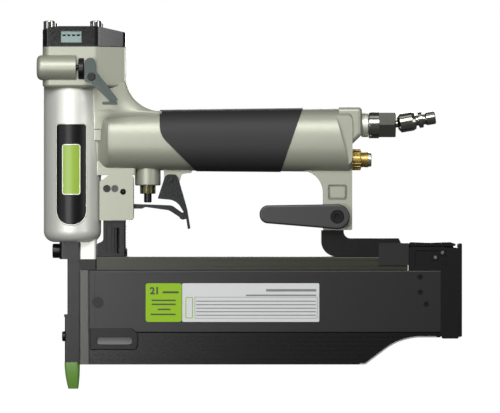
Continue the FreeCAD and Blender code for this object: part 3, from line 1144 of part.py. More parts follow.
def belt_hook():
    """Tapered arm stood off the post, turning about its screw."""
    tip_x = HOOK_X - HOOK_LENGTH
    tip_z = HOOK_Z + 1.6
    blade = side_plate([(tip_x - HOOK_END_R, tip_z - HOOK_END_R, HOOK_END_R - 0.1),
                        (HOOK_X, HOOK_Z - HOOK_R, 4), (HOOK_X + 1, HOOK_Z - HOOK_R + 0.1, 0),
                         (HOOK_X + 1, HOOK_Z + HOOK_R - 0.1, 0),
                        (HOOK_X, HOOK_Z + HOOK_R, 4),
                        (tip_x - HOOK_END_R, tip_z + HOOK_END_R, HOOK_END_R - 0.1)],
                        HOOK_NEAR, HOOK_NEAR + HOOK_T)
    round_end = rod("y", HOOK_R, HOOK_NEAR, HOOK_NEAR + HOOK_T, HOOK_X, HOOK_Z)
    boss = rod("y", HOOK_R - 0.6, HOOK_NEAR + HOOK_T - 0.1, -POST_HALF_W - GAP / 3, HOOK_X, HOOK_Z)
    plate = blade.fuse(round_end)
    plate = fillet_where(plate, 1.2, lambda e: e.BoundBox.YMax < HOOK_NEAR + 0.01)
    arm = plate.fuse(boss)
    arm = arm.cut(rod("y", HOOK_HEAD_R, HOOK_NEAR - 1, HOOK_NEAR + 4.4, HOOK_X, HOOK_Z))
    return arm.cut(rod("y", HOOK_SCREW_R + RUN, -30, 0, HOOK_X, HOOK_Z))


def hook_screw():
    seat = HOOK_NEAR + 4.4 - GAP / 3
    head = rod("y", HOOK_HEAD_R - 0.3, HOOK_NEAR + 0.8, seat, HOOK_X, HOOK_Z)
    screw = head.fuse(rod("y", HOOK_SCREW_R, seat - 0.1, POST_HALF_W, HOOK_X, HOOK_Z))
    socket = [(u, w, 0) for u, w, r in hexagon(HOOK_X, HOOK_Z, 2.2)]
    return screw.cut(side_plate(socket, HOOK_NEAR, HOOK_NEAR + 2.6))


# ================================================================ air inlet and silencer
def inlet_collar():
    """Threaded bush in the handle with the spigot that the swivel turns on."""
    start = INLET_BOSS_REAR - 11.5
    profile = [(0, 0), (0, COLLAR_R - 1.2 - SEAT), (11.5, COLLAR_R - 1.2 - SEAT), (11.5, COLLAR_R - 0.4),
               (11.9, COLLAR_R), (11.1 + COLLAR_T, COLLAR_R), (11.5 + COLLAR_T, COLLAR_R - 0.4),
               (11.5 + COLLAR_T, SPIGOT_R), (11.5 + COLLAR_T + SPIGOT_L, SPIGOT_R),
               (11.5 + COLLAR_T + SPIGOT_L, 0)]
    body = turned(V(1, 0, 0), profile, V(start, 0, INLET_Z))
    return body.cut(rod("x", PLUG_BORE_R, start - 1, INLET_BOSS_REAR + 20, 0, INLET_Z))


def swivel_nut():
    """Turning nut: round sleeve, hexagon and the socket of the ball joint."""
    round_part = rod("x", NUT_R, NUT_START, NUT_START + NUT_ROUND, 0, INLET_Z)
    round_part = fillet_where(round_part, 0.5, lambda e: e.BoundBox.XMax < NUT_START + 0.1)
    hexes = [(u, w, 0) for u, w, r in hexagon(0, INLET_Z, NUT_R + 0.4)]
    hex_part = end_plate(hexes, NUT_START + NUT_ROUND, NUT_START + NUT_L)
    cone = Part.makeCone(NUT_R + 1.6, NUT_R - 0.8, 2.4, V(NUT_START + NUT_L - 2.4, 0, INLET_Z), V(1, 0, 0))
    keep = rod("x", NUT_R + 1, NUT_START, NUT_START + NUT_L - 2.4, 0, INLET_Z).fuse(cone)
    nut = round_part.fuse(hex_part.common(keep))
    nut = nut.cut(rod("x", SPIGOT_R + RUN, NUT_START - 1, NUT_START + SPIGOT_L, 0, INLET_Z))
    nut = nut.cut(rod("x", PLUG_BORE_R, NUT_START, BALL_X, 0, INLET_Z))
    nut = nut.cut(Part.makeSphere(BALL_R + RUN, V(BALL_X, 0, INLET_Z)))
    mouth = Part.makeCone(0.2, 4.6, BALL_INSET + 0.01, V(BALL_X, 0, INLET_Z), V(1, 0, 0))
    return nut.cut(mouth)


def plug_axis():
    angle = math.radians(PLUG_TILT)
    return V(math.cos(angle), 0, math.sin(angle))


def air_plug():
    """Quarter inch quick plug on a ball, tilted as it hangs on the hose."""
    profile = [(2.6, 0), (2.6, 2.2), (4.7, 2.2), (4.7, 3.4), (6.3, 5.7), (13.6, 5.7), (15.4, 4.9),
               (15.9, 3.2), (17.1, 3.2), (17.5, 4.8), (19.8, 4.8), (20.2, 3.2), (21.3, 3.2),
               (22.2, PLUG_TIP_R), (PLUG_END - 0.6, PLUG_TIP_R),
               (PLUG_END, PLUG_TIP_R - 0.6), (PLUG_END, 0)]
    centre = V(BALL_X, 0, INLET_Z)
    body = turned(plug_axis(), profile, centre)
    body = body.fuse(Part.makeSphere(BALL_R, centre))
    bore = Part.makeCylinder(PLUG_BORE_R, PLUG_END + 6, centre - plug_axis() * 5, plug_axis())
    return body.cut(bore)


def silencer_body():
    knurl = rod("x", SILENCER_R, HANDLE_REAR, HANDLE_REAR + 5.3, 0, SILENCER_Z)
    knurl = fillet_where(knurl, 0.6, lambda e: True)
    for i in range(18):
        angle = 2 * math.pi * i / 18
        knurl = knurl.cut(rod("x", 0.45, HANDLE_REAR - 1, HANDLE_REAR + 6, SILENCER_R * math.cos(angle),
                              SILENCER_Z + SILENCER_R * math.sin(angle)))
    profile = [(0, 0), (0, 3.6 - SEAT), (6.8, 3.6 - SEAT), (6.8, 4.6)]
    start = HANDLE_REAR - 6.8
    neck = rod("x", 4.6, HANDLE_REAR + 5.2, HANDLE_REAR + 9.8, 0, SILENCER_Z)
    groove = [(1.4, 4.3), (1.9, 4.3), (1.9, 6), (1.4, 6)]
    neck = neck.cut(turned(V(1, 0, 0), groove, V(HANDLE_REAR + 5.2, 0, SILENCER_Z)))
    thread = rod("x", profile[1][1], start, HANDLE_REAR + 1, 0, SILENCER_Z)
    return knurl.fuse([neck, thread])


def silencer_disc():
    disc = rod("x", 4.2, HANDLE_REAR + 9.8, HANDLE_REAR + 11.6, 0, SILENCER_Z)
    return fillet_where(disc, 0.5, lambda e: e.BoundBox.XMin > HANDLE_REAR + 11.5)


# ================================================================ blow-off valve
def blow_plunger():
    """Button and stem of the blow-off valve, pushed forward by the lever."""
    button = rod("x", PLUNGER_R, PLUNGER_FACE, PLUNGER_FACE + PLUNGER_T, BLOW_Y - 0.4, BLOW_Z - 0.8)
    button = fillet_where(button, 0.5, lambda e: True)
    button = button.cut(box(PLUNGER_FACE - 1, PLUNGER_FACE + 5, -HEAD_HALF - GAP, 0,
                            BLOW_Z - 20, BLOW_Z + 20))
    stem = rod("x", PLUNGER_STEM_R, BLOW_REAR - 7, PLUNGER_FACE + 1, PLUNGER_Y, BLOW_Z)
    return button.fuse(stem)


def blow_lever():
    """Bent lever: ear on the pin, tongue down the side of the head and a thumb tab."""
    outer = LEVER_FACE
    corners = [(LEVER_X - 4.1, LEVER_Z - 2.8, 0.8), (LEVER_X - 0.6, LEVER_Z - 3.6, 2.0), (25.4, 169.6, 1.0),
               (28.2, 172.6, 1.2), (LEVER_X + 3.0, LEVER_Z + 3.0, 2.0), (LEVER_X + 2.4, LEVER_Z + 11.2, 3.4),
               (LEVER_X - 4.2, LEVER_Z + 11.2, 3.4)]
    ear = side_plate(corners, outer, outer + LEVER_T)
    tab = side_plate([(18.9, 169.6, 0.6), (27.9, 169.6, 0.8), (27.9, 171.4, 0.8), (18.9, 171.4, 0.6)],
                     outer - 4.5, outer + LEVER_T)
    rim = side_plate([(LEVER_X + 2.2, LEVER_Z + 2.4, 0), (LEVER_X + 3.3, LEVER_Z + 2.2, 0), (28.0, 172.4, 0),
                      (26.4, 171.0, 0)], outer - 1.6, outer + LEVER_T)
    lever = ear.fuse([tab, rim])
    return lever.cut(rod("y", LEVER_PIN_R + RUN, -40, 0, LEVER_X, LEVER_Z))


def lever_pin():
    outer = LEVER_FACE
    pin = rod("y", LEVER_PIN_R, outer - 0.2, -HEAD_HALF + 1.5, LEVER_X, LEVER_Z)
    head = rod("y", 2.4, outer - 1.0, outer - 0.1, LEVER_X, LEVER_Z)
    return pin.fuse(fillet_where(head, 0.4, lambda e: e.BoundBox.YMax < outer - 0.9))


# ================================================================ assembly
PARTS = {
    "housing": casting,
    "grip_sleeve": grip_sleeve,
    "badge_inlay": badge_inlay,
    "badge_plate": badge_plate,
    "cylinder_sleeve": cylinder_sleeve,
    "sleeve_seals": sleeve_seal,
    "bumper": bumper,
    "piston": piston,
    "piston_seal": piston_seal,
    "driver_blade": driver_blade,
    "cap_gasket": cap_gasket,
    "head_cap": head_cap,
    "exhaust_grille": exhaust_grille,
    "cap_screws": cap_screws,
    "head_valve": head_valve,
    "head_valve_spring": head_valve_spring,
    "driver_guide": driver_guide,
    "nose_plate": nose_plate,
    "nose_screw": nose_screw,
    "contact_foot": contact_foot,
    "no_mar_tip": no_mar_tip,
    "contact_screw": contact_screw,
    "contact_link": contact_link,
    "lifter_rod": lifter_rod,
    "contact_spring": contact_spring,
    "spring_column": spring_column,
    "guide_block": guide_block,
    "block_screws": block_screws,
    "trigger": trigger,
    "trigger_pin": trigger_pin,
    "arm_pin": arm_pin,
    "actuator_arm": actuator_arm,
    "trigger_valve_body": trigger_valve_body,
    "valve_stem": valve_stem,
    "magazine_rail": magazine_rail,
    "front_junction": front_junction,
    "cover_panel": cover_panel,
    "panel_screws": panel_screws,
    "front_strip": front_strip,
    "cover_channel": cover_channel,
    "window_frame": window_frame,
    "pusher": pusher,
    "pusher_spring": pusher_spring,
    "end_cap": end_cap,
    "latch_pins": latch_pins,
    "latch": latch,
    "label_green": lambda: label(LABEL_FRONT, LABEL_SPLIT - 0.15, 1.5),
    "label_white": lambda: label(LABEL_SPLIT + 0.15, LABEL_REAR, 0.8),
    "tail_bracket": tail_bracket,
    "keeper_block": keeper_block,
    "belt_hook": belt_hook,
    "hook_screw": hook_screw,
    "inlet_collar": inlet_collar,
    "swivel_nut": swivel_nut,
    "air_plug": air_plug,
    "silencer_body": silencer_body,
    "silencer_disc": silencer_disc,
    "blow_plunger": blow_plunger,
    "blow_lever": blow_lever,
    "lever_pin": lever_pin,
}

os.makedirs("parts", exist_ok=True)
for part_name, make in PARTS.items():
    save(part_name, make())
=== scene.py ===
# %% [markdown]
# # A pneumatic pin nailer
# The nailer arrives as a frame of solid metal and plastic parts, each in its real place. This lesson gives
# every part its finish, adds the small shapes that are easier to make here than in a CAD program, and
# lights the tool on a pale table. The lengths in the file are metres, so a millimetre gets its own name.

# %% Frame
import math

import bmesh
import bpy
import numpy as np
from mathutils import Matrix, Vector


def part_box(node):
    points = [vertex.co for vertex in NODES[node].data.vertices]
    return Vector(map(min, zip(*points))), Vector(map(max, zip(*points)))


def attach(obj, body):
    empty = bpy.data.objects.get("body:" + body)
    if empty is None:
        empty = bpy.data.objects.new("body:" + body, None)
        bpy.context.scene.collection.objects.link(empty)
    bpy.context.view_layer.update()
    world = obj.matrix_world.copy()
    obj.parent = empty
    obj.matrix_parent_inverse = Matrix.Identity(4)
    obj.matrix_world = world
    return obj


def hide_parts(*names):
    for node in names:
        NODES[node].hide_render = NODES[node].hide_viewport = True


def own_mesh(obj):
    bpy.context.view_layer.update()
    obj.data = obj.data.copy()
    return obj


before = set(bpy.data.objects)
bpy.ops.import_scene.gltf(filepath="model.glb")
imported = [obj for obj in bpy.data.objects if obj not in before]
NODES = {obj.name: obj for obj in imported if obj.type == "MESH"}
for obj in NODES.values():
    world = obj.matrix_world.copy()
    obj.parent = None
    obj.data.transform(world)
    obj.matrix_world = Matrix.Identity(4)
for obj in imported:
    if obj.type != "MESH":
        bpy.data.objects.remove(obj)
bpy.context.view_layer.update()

MM = 0.001
print("parts in the frame:", len(NODES))

# %% [markdown]
# ## Colours
# A colour picker shows sRGB numbers, while the renderer works in linear light. One function turns a hex
# value into linear numbers, so that each finish below can be written the way a maker would name it.

# %% Colour helper


def linear(code):
    """Hex sRGB to linear RGBA: c / 12.92 below 0.04045, else ((c + 0.055) / 1.055) ** 2.4."""
    srgb = np.array([int(code[i:i + 2], 16) for i in (1, 3, 5)]) / 255
    light = np.where(srgb <= 0.04045, srgb / 12.92, ((srgb + 0.055) / 1.055) ** 2.4)
    return (*light, 1.0)


print("mid grey in linear light:", linear("#808080")[0])

# %% [markdown]
# ## A node helper
# Every finish is a small net of shader nodes. One function adds a node, sets its properties, and fills its
# input sockets with either a value or another node's output.

# %% Node helper


def add(tree, kind, inputs=None, **properties):
    """Adds a node of that kind; a socket in `inputs` is linked where it is given an output, or else set."""
    node = tree.nodes.new(kind)
    for name, value in properties.items():
        setattr(node, name, value)
    for name, value in (inputs or {}).items():
        if isinstance(value, bpy.types.NodeSocket):
            tree.links.new(value, node.inputs[name])
        else:
            node.inputs[name].default_value = value
    return node


def finish_named(name):
    """An empty material with an output node: returns (material, tree, surface socket)."""
    material = bpy.data.materials.new(name)
    material.use_nodes = True
    tree = material.node_tree
    tree.nodes.clear()
    output = tree.nodes.new("ShaderNodeOutputMaterial")
    return material, tree, output.inputs["Surface"]


print("node helpers: add, finish_named")

# %% [markdown]
# ## Smooth finishes
# Most parts are one plain material: a metal or a plastic with a colour and a gloss. Even these are never
# perfectly even, so a fine noise, sized in millimetres, varies the roughness and bumps the surface a little.

# %% Plain finishes


def plain_finish(name, colour, metallic, roughness, grain_mm=0.8, grain_depth_mm=0.004, spread=0.05,
                 stretch=(1, 1, 1), coat=0.0, ior=1.5):
    """A Principled surface whose roughness and height follow noise of `grain_mm`, stretched along an axis."""
    material, tree, surface = finish_named(name)
    place = add(tree, "ShaderNodeTexCoord").outputs["Object"]
    turned = add(tree, "ShaderNodeMapping", {"Vector": place, "Scale": stretch})
    noise = add(tree, "ShaderNodeTexNoise", {"Vector": turned.outputs["Vector"], "Scale": 1 / (grain_mm * MM),
                                             "Detail": 3.0})
    rough = add(tree, "ShaderNodeMapRange", {"Value": noise.outputs["Fac"], "To Min": roughness - spread,
                                             "To Max": roughness + spread})
    bump = add(tree, "ShaderNodeBump", {"Height": noise.outputs["Fac"], "Strength": 1.0,
                                        "Distance": grain_depth_mm * MM})
    skin = add(tree, "ShaderNodeBsdfPrincipled", {
        "Base Color": linear(colour), "Metallic": metallic, "Roughness": rough.outputs["Result"],
        "Normal": bump.outputs["Normal"], "Coat Weight": coat, "Coat Roughness": 0.12, "IOR": ior})
    tree.links.new(skin.outputs["BSDF"], surface)
    return material


FINISHES = {
    # Metallic paint sprayed on a die casting: flakes under a satin top give a wide, soft highlight. Its
    # colour gets a painted highlight on the barrel further down.
    "champagne_paint": plain_finish("champagne_paint", "#babcae", 0.45, 0.44, 0.35, 0.004, 0.04),
    # Moulded soft rubber with a fine grain: dark, with a dull and broad sheen.
    "grip_rubber": plain_finish("grip_rubber", "#1d1d1d", 0.0, 0.6, 0.5, 0.02, 0.06, ior=1.42),
    # Black acrylic plate: nearly black, with a narrow reflection.
    "badge_black": plain_finish("badge_black", "#0b0b0c", 0.0, 0.32, ior=1.3),
    # Green enamelled plate: an even, clean colour under a light gloss.
    "badge_green": plain_finish("badge_green", "#82a02c", 0.0, 0.35),
    # Turned aluminium: bright, slightly spread reflections.
    "machined_aluminium": plain_finish("machined_aluminium", "#d6d6d4", 1.0, 0.28),
    # Nitrile rubber of seals and bumper: black and half matt.
    "seal_rubber": plain_finish("seal_rubber", "#1b1b1b", 0.0, 0.5),
    # Ground or drawn tool steel: a mid-grey mirror softened by fine scratches.
    "ground_steel": plain_finish("ground_steel", "#b4b4b2", 1.0, 0.25),
    # Stoved black enamel on the cap: a thin clear layer lets its facets mirror the lamps.
    "gloss_black_enamel": plain_finish("gloss_black_enamel", "#0b0b0b", 0.0, 0.2, coat=0.2),
    # Polished bright bar: light, sharp reflections.
    "bright_steel": plain_finish("bright_steel", "#dcdcd6", 1.0, 0.2),
    # Chromium plate on the cap screws: the sharpest mirror on the tool.
    "chrome_plate": plain_finish("chrome_plate", "#b9bab4", 1.0, 0.12, spread=0.02),
    # Sawn edge where the black coat is gone: pale and matt against the coat.
    "bare_aluminium": plain_finish("bare_aluminium", "#8f908c", 0.8, 0.45),
    # Steel with black oxide: black, yet its edges keep a metal glint.
    "blackened_steel": plain_finish("blackened_steel", "#131313", 0.5, 0.32, ior=1.5),
    # Nickel plate on the air fitting: a warm mirror, darker than chromium.
    "nickel_plate": plain_finish("nickel_plate", "#94958d", 1.0, 0.2, spread=0.03),
    # Satin nickel: pale, without a mirror, as on the collar and the badge borders.
    "pale_satin_nickel": plain_finish("pale_satin_nickel", "#c9cbbe", 0.7, 0.42),
    # Zinc-plated louvre: cool grey with a hint of green.
    "exhaust_zinc": plain_finish("exhaust_zinc", "#6f7f7b", 0.4, 0.4),
    # Grey moulded follower behind the window: an even grey with a faint metal sheen.
    "pusher_grey": plain_finish("pusher_grey", "#5a5a5a", 0.4, 0.4),
    # Cast urethane tip: saturated green with a soft wax-like gloss.
    "green_urethane": plain_finish("green_urethane", "#557d2c", 0.0, 0.4),
    # Glass-filled nylon: black and fine-grained, with little reflection.
    "moulded_black": plain_finish("moulded_black", "#080808", 0.0, 0.34, 0.4, 0.008, ior=1.33),
    # Enamel on the trigger and arm: black with a cool cast.
    "black_enamel": plain_finish("black_enamel", "#0e1413", 0.1, 0.28, ior=1.36),
    # Turned brass of the silencer: gold, with tool marks that run round it and spread the shine.
    "turned_brass": plain_finish("turned_brass", "#a38c52", 0.9, 0.36, 0.3, 0.004, 0.06,
                                 stretch=(6, 1, 1)),
    # Brass of the trigger valve, darker than the turned brass: olive brown, little shine.
    "dull_brass": plain_finish("dull_brass", "#565238", 0.9, 0.34),
    # Dark anodised rail with lengthwise extrusion marks and an olive cast.
    "olive_anodised": plain_finish("olive_anodised", "#25271a", 0.3, 0.36, stretch=(0.05, 1, 1)),
    # Black anodised extrusion: marks run along it and stretch its reflections.
    "dark_anodised": plain_finish("dark_anodised", "#191919", 0.3, 0.36, 0.5, 0.003, 0.04,
                                  stretch=(0.05, 1, 1)),
    # The same coat on the ribbed channel, painted darker as painted shade, with a tighter shine that the ribs
    # catch as lines.
    "ribbed_anodised_painted_shade": plain_finish("ribbed_anodised_painted_shade", "#0e0e0e", 0.2, 0.27, 0.5, 0.003, 0.04, ior=1.4),
    # Pressed steel with a black coat: black, with a faint metal sheen.
    "latch_black": plain_finish("latch_black", "#131414", 0.5, 0.34, ior=1.35),
    # Grey ink on the pale label: flat in colour and matt. Here it also draws the painted shade round the
    # post's panel.
    "print_grey": plain_finish("print_grey", "#6a6b6b", 0.0, 0.5),
    # Dark green ink on the green label: flat in colour and matt.
    "print_dark": plain_finish("print_dark", "#2c3610", 0.0, 0.5),
    # Printed green film: saturated, half matt.
    "label_green": plain_finish("label_green", "#7ca400", 0.0, 0.5, ior=1.35),
    # Silver polyester film: a light even grey.
    "label_silver": plain_finish("label_silver", "#b7b8b8", 0.0, 0.4),
    # Rolled steel strip, brushed upright: dark, with fine upright streaks in its shine.
    "strip_steel": plain_finish("strip_steel", "#454543", 0.8, 0.36, stretch=(1, 1, 0.05)),
    # Phosphated lever: blue-grey with a dull metal shine.
    "lever_steel": plain_finish("lever_steel", "#434a48", 0.8, 0.3),
    # Powder coat on the belt hook: charcoal with an even, soft sheen.
    "hook_grey": plain_finish("hook_grey", "#2b2b2b", 0.1, 0.4),
}
print("plain finishes:", len(FINISHES))

# %% [markdown]
# ## A painted highlight on the barrel
# The upright barrel looks brighter than the cast walls round it, although both wear one paint. That
# brightness
# is light, and here it is painted in: the base colour is lighter on the barrel, a painted highlight. The
# distance from the barrel's own axis tells the shader where the barrel is, and a second mask ends the painted
# highlight below the head.

# %% Barrel painted highlight
BARREL_R = 17.2
HEAD_BOTTOM = 180.0
PAINTED_HIGHLIGHT_EDGE = 0.05, 0.35     # the painted highlight fades out between these distances outside the barrel
PAINTED_HIGHLIGHT_FADE = 2.0
paint = FINISHES["champagne_paint"].node_tree
skin = next(node for node in paint.nodes if node.type == "BSDF_PRINCIPLED")
here = add(paint, "ShaderNodeTexCoord").outputs["Object"]
coords = add(paint, "ShaderNodeSeparateXYZ", {"Vector": here})
level_place = add(paint, "ShaderNodeCombineXYZ", {"X": coords.outputs["X"], "Y": coords.outputs["Y"]})
reach = add(paint, "ShaderNodeVectorMath", {0: level_place.outputs["Vector"]}, operation="LENGTH")
near_axis = add(paint, "ShaderNodeMapRange", {
    "Value": reach.outputs["Value"], "From Min": (BARREL_R + PAINTED_HIGHLIGHT_EDGE[0]) * MM,
    "From Max": (BARREL_R + PAINTED_HIGHLIGHT_EDGE[1]) * MM, "To Min": 1.0, "To Max": 0.0})
under_head = add(paint, "ShaderNodeMapRange", {
    "Value": coords.outputs["Z"], "From Min": (HEAD_BOTTOM - PAINTED_HIGHLIGHT_FADE) * MM,
    "From Max": HEAD_BOTTOM * MM, "To Min": 1.0, "To Max": 0.0})
painted_highlight_mask = add(paint, "ShaderNodeMath", {0: near_axis.outputs["Result"], 1: under_head.outputs["Result"]},
                operation="MULTIPLY")
painted_highlight_tone = add(paint, "ShaderNodeMix", {"Factor": painted_highlight_mask.outputs["Value"]}, data_type="RGBA")
# A is the paint's own colour; B is the painted highlight on the barrel.
painted_highlight_tone.inputs["A"].default_value = linear("#939587")
painted_highlight_tone.inputs["B"].default_value = linear("#cfd0c9")
paint.links.new(painted_highlight_tone.outputs["Result"], skin.inputs["Base Color"])
print("barrel radius for the sheen:", BARREL_R)

# %% [markdown]
# ## Who wears what
# A table pairs each part with its finish. Parts keep their own meshes; only material slots change.

# %% Dressing the frame
WORN = {
    "champagne_paint": ["housing", "guide_block"],
    "grip_rubber": ["grip_sleeve"],
    "badge_black": ["badge_inlay"],
    "badge_green": ["badge_plate"],
    "machined_aluminium": ["cylinder_sleeve", "piston", "head_valve"],
    "seal_rubber": ["sleeve_seals", "bumper", "piston_seal", "cap_gasket"],
    "ground_steel": ["driver_blade", "head_valve_spring", "contact_spring", "pusher_spring"],
    "gloss_black_enamel": ["head_cap"],
    "bright_steel": ["lifter_rod", "latch_pins", "silencer_disc"],
    "exhaust_zinc": ["exhaust_grille"],
    "chrome_plate": ["cap_screws"],
    "nickel_plate": ["swivel_nut", "air_plug"],
    "pale_satin_nickel": ["inlet_collar"],
    "blackened_steel": ["driver_guide", "nose_plate", "nose_screw", "contact_foot", "contact_screw",
                        "contact_link", "block_screws", "trigger_pin", "arm_pin", "valve_stem",
                        "hook_screw", "lever_pin"],
    "green_urethane": ["no_mar_tip"],
    "moulded_black": ["spring_column", "front_junction", "window_frame", "end_cap", "tail_bracket",
                      "blow_plunger", "panel_screws"],
    "pusher_grey": ["pusher"],
    "black_enamel": ["trigger", "actuator_arm"],
    "dull_brass": ["trigger_valve_body"],
    "turned_brass": ["silencer_body"],
    "olive_anodised": ["magazine_rail"],
    "dark_anodised": ["cover_panel", "keeper_block"],
    "ribbed_anodised_painted_shade": ["cover_channel"],
    "latch_black": ["latch"],
    "strip_steel": ["front_strip"],
    "lever_steel": ["blow_lever"],
    "label_green": ["label_green"],
    "label_silver": ["label_white"],
    "hook_grey": ["belt_hook"],
}


def wear(part, material):
    """Leaves the part with one slot, which holds this material."""
    part.data.materials.clear()
    part.data.materials.append(material)


for finish, parts in WORN.items():
    for part in parts:
        wear(NODES[part], FINISHES[finish])

# Two screws share this one part: the rear one is plain steel and the front one stays black.
REAR_SCREW_X = 23.2
screws = NODES["block_screws"].data
screws.materials.append(FINISHES["strip_steel"])
middles = np.empty(len(screws.polygons) * 3)
screws.polygons.foreach_get("center", middles)
screws.polygons.foreach_set("material_index", (middles[::3] > REAR_SCREW_X * MM).astype(np.int32))
undressed = sorted(set(NODES) - {part for parts in WORN.values() for part in parts})
print("parts without a finish:", undressed)

# %% [markdown]
# ## Surfaces from arrays
# The small shapes below are grids of points. A path gives the middle line, a ring gives the section, and the
# two are combined as whole arrays. One function turns such a grid into a mesh and hangs it on a body.

# %% Grid to mesh
SAME_POINT = 1e-7     # metres: closer points are one point


def piece(name, points, body, material, closed_u=False, closed_v=False, smooth=True, faces=None):
    """Mesh of a (rows, columns, 3) grid in millimetres; cell (i, j) is the quad (i, j), (i, j+1),
    (i+1, j+1), (i+1, j). With `faces` given, the points are a plain list instead."""
    if faces is None:
        rows, columns = points.shape[:2]
        i = np.arange(rows if closed_u else rows - 1)[:, None]
        j = np.arange(columns if closed_v else columns - 1)[None, :]
        this_row, next_row = (i % rows) * columns, ((i + 1) % rows) * columns
        this_column, next_column = j % columns, (j + 1) % columns
        corner = [this_row + this_column, this_row + next_column,
                  next_row + next_column, next_row + this_column]
        faces = np.stack([c.ravel() for c in corner], axis=1).tolist()
        points = points.reshape(-1, 3)
    mesh = bpy.data.meshes.new(name)
    mesh.from_pydata((points * MM).tolist(), [], faces)
    mesh.polygons.foreach_set("use_smooth", [smooth] * len(mesh.polygons))
    mesh.materials.append(material)
    thing = bpy.data.objects.new(name, mesh)
    bpy.context.collection.objects.link(thing)
    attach(thing, body)
    return thing


def sweep(path, across, up, section):
    """Carries a section along a path: point (s, t) = path(s) + across(s) * a(t) + up(s) * b(t)."""
    sideways = across[:, None, :] * section[None, :, :1]
    upwards = up[:, None, :] * section[None, :, 1:]
    return path[:, None, :] + sideways + upwards


def tube(name, rings, body, material, smooth=True):
    """Closed piece from rings of points (rows, columns, 3): walls between rings, a face at each end."""
    rows, columns = rings.shape[:2]
    i = np.arange(rows - 1)[:, None] * columns
    j = np.arange(columns)[None, :]
    after = (j + 1) % columns
    walls = np.stack([i + j, i + after, i + columns + after, i + columns + j], axis=2).reshape(-1, 4)
    ends = [list(range(columns)), list(range((rows - 1) * columns, rows * columns))]
    faces = walls.tolist() + ends
    return outward(piece(name, rings.reshape(-1, 3), body, material, smooth=smooth, faces=faces))


def ring(count, radius_a, radius_b=None):
    """Ellipse section: (radius_a cos t, radius_b sin t)."""
    t = np.linspace(0, 2 * np.pi, count, endpoint=False)
    return np.stack([radius_a * np.cos(t), (radius_b or radius_a) * np.sin(t)], axis=1)


def outward(thing):
    """Merges points that lie together, then turns every face of a closed piece outwards."""
    work = bmesh.new()
    work.from_mesh(thing.data)
    bmesh.ops.remove_doubles(work, verts=work.verts, dist=SAME_POINT)
    bmesh.ops.recalc_face_normals(work, faces=work.faces)
    work.to_mesh(thing.data)
    work.free()
    return thing


print("grid helpers ready")

# %% [markdown]
# ## The contact spring
# The contact tip is pushed down by a small steel coil on the bright rod. A coil is a circle carried along a
# helix. On the tool the coil shortens as the tip is pressed; this one is built at its rest length on the
# frame.

# %% Contact spring
low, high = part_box("contact_spring")
SPRING_X = (low[0] + high[0]) / 2 / MM
SPRING_LOW, SPRING_HIGH = low[2] / MM, high[2] / MM
COIL_R, WIRE_R, COIL_TURNS = 1.9, 0.32, 8
STEPS_PER_TURN = 24
turn = np.linspace(0, 2 * np.pi * COIL_TURNS, STEPS_PER_TURN * COIL_TURNS + 1)
share = np.linspace(0, 1, len(turn))
height = SPRING_LOW + WIRE_R + (SPRING_HIGH - SPRING_LOW - 2 * WIRE_R) * share
helix = np.stack([SPRING_X + COIL_R * np.cos(turn), COIL_R * np.sin(turn), height], axis=1)
radial = np.stack([np.cos(turn), np.sin(turn), np.zeros_like(turn)], axis=1)
upward = np.tile([0.0, 0.0, 1.0], (len(turn), 1))
coil_points = sweep(helix, radial, upward, ring(8, WIRE_R))
coil = tube("contact_coil", coil_points, "frame", FINISHES["ground_steel"])
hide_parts("contact_spring")
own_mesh(coil)
print("coil faces:", len(coil.data.polygons))

# %% [markdown]
# ## Bright lines round the badge
# The badge lies in the barrel under a thin silver border, and its green plate has a wider one. Both are an
# oval bead that follows a closed outline drawn flat and then wrapped on the barrel.

# %% Badge beads


def rounded_outline(x0, x1, z0, z1, radii, count=10):
    """Closed outline of quarter circles at the corners, from the lower left one round; radii per corner."""
    t = np.linspace(0, np.pi / 2, count)
    spots = [(x0, z0, np.pi), (x1, z0, 1.5 * np.pi), (x1, z1, 0.0), (x0, z1, 0.5 * np.pi)]
    points = []
    for (x, z, start), r in zip(spots, radii):
        cx = x + r if x == x0 else x - r
        cz = z + r if z == z0 else z - r
        points.append(np.stack([cx + r * np.cos(start + t), cz + r * np.sin(start + t)], axis=1))
    return np.concatenate(points)


def refine(points, step):
    """Adds points so that no side of a closed outline is longer than `step`."""
    side = np.roll(points, -1, axis=0) - points
    counts = np.maximum(1, np.ceil(np.linalg.norm(side, axis=1) / step)).astype(int)
    along = np.arange(counts.sum()) - np.repeat(np.cumsum(counts) - counts, counts)
    start, whole, parts = (np.repeat(a, counts, axis=0) for a in (points, side, counts[:, None]))
    return start + whole * along[:, None] / parts


def bead_on_barrel(name, flat, radius, half_width, rise, material):
    """Bead along an outline (x, z) wrapped on a cylinder: the point's y is -sqrt(radius^2 - x^2)."""
    flat = refine(flat, 1.0)
    depth = -np.sqrt(radius ** 2 - flat[:, 0] ** 2)
    normal = np.stack([flat[:, 0], depth, np.zeros(len(flat))], axis=1) / radius
    path = np.stack([normal[:, 0] * radius, normal[:, 1] * radius, flat[:, 1]], axis=1)
    along = np.roll(path, -1, axis=0) - np.roll(path, 1, axis=0)
    along /= np.linalg.norm(along, axis=1, keepdims=True)
    side = np.cross(normal, along)
    section = ring(8, half_width, rise)
    grid = sweep(path, side, normal, section)
    return outward(piece(name, grid, "frame", material, closed_u=True, closed_v=True))


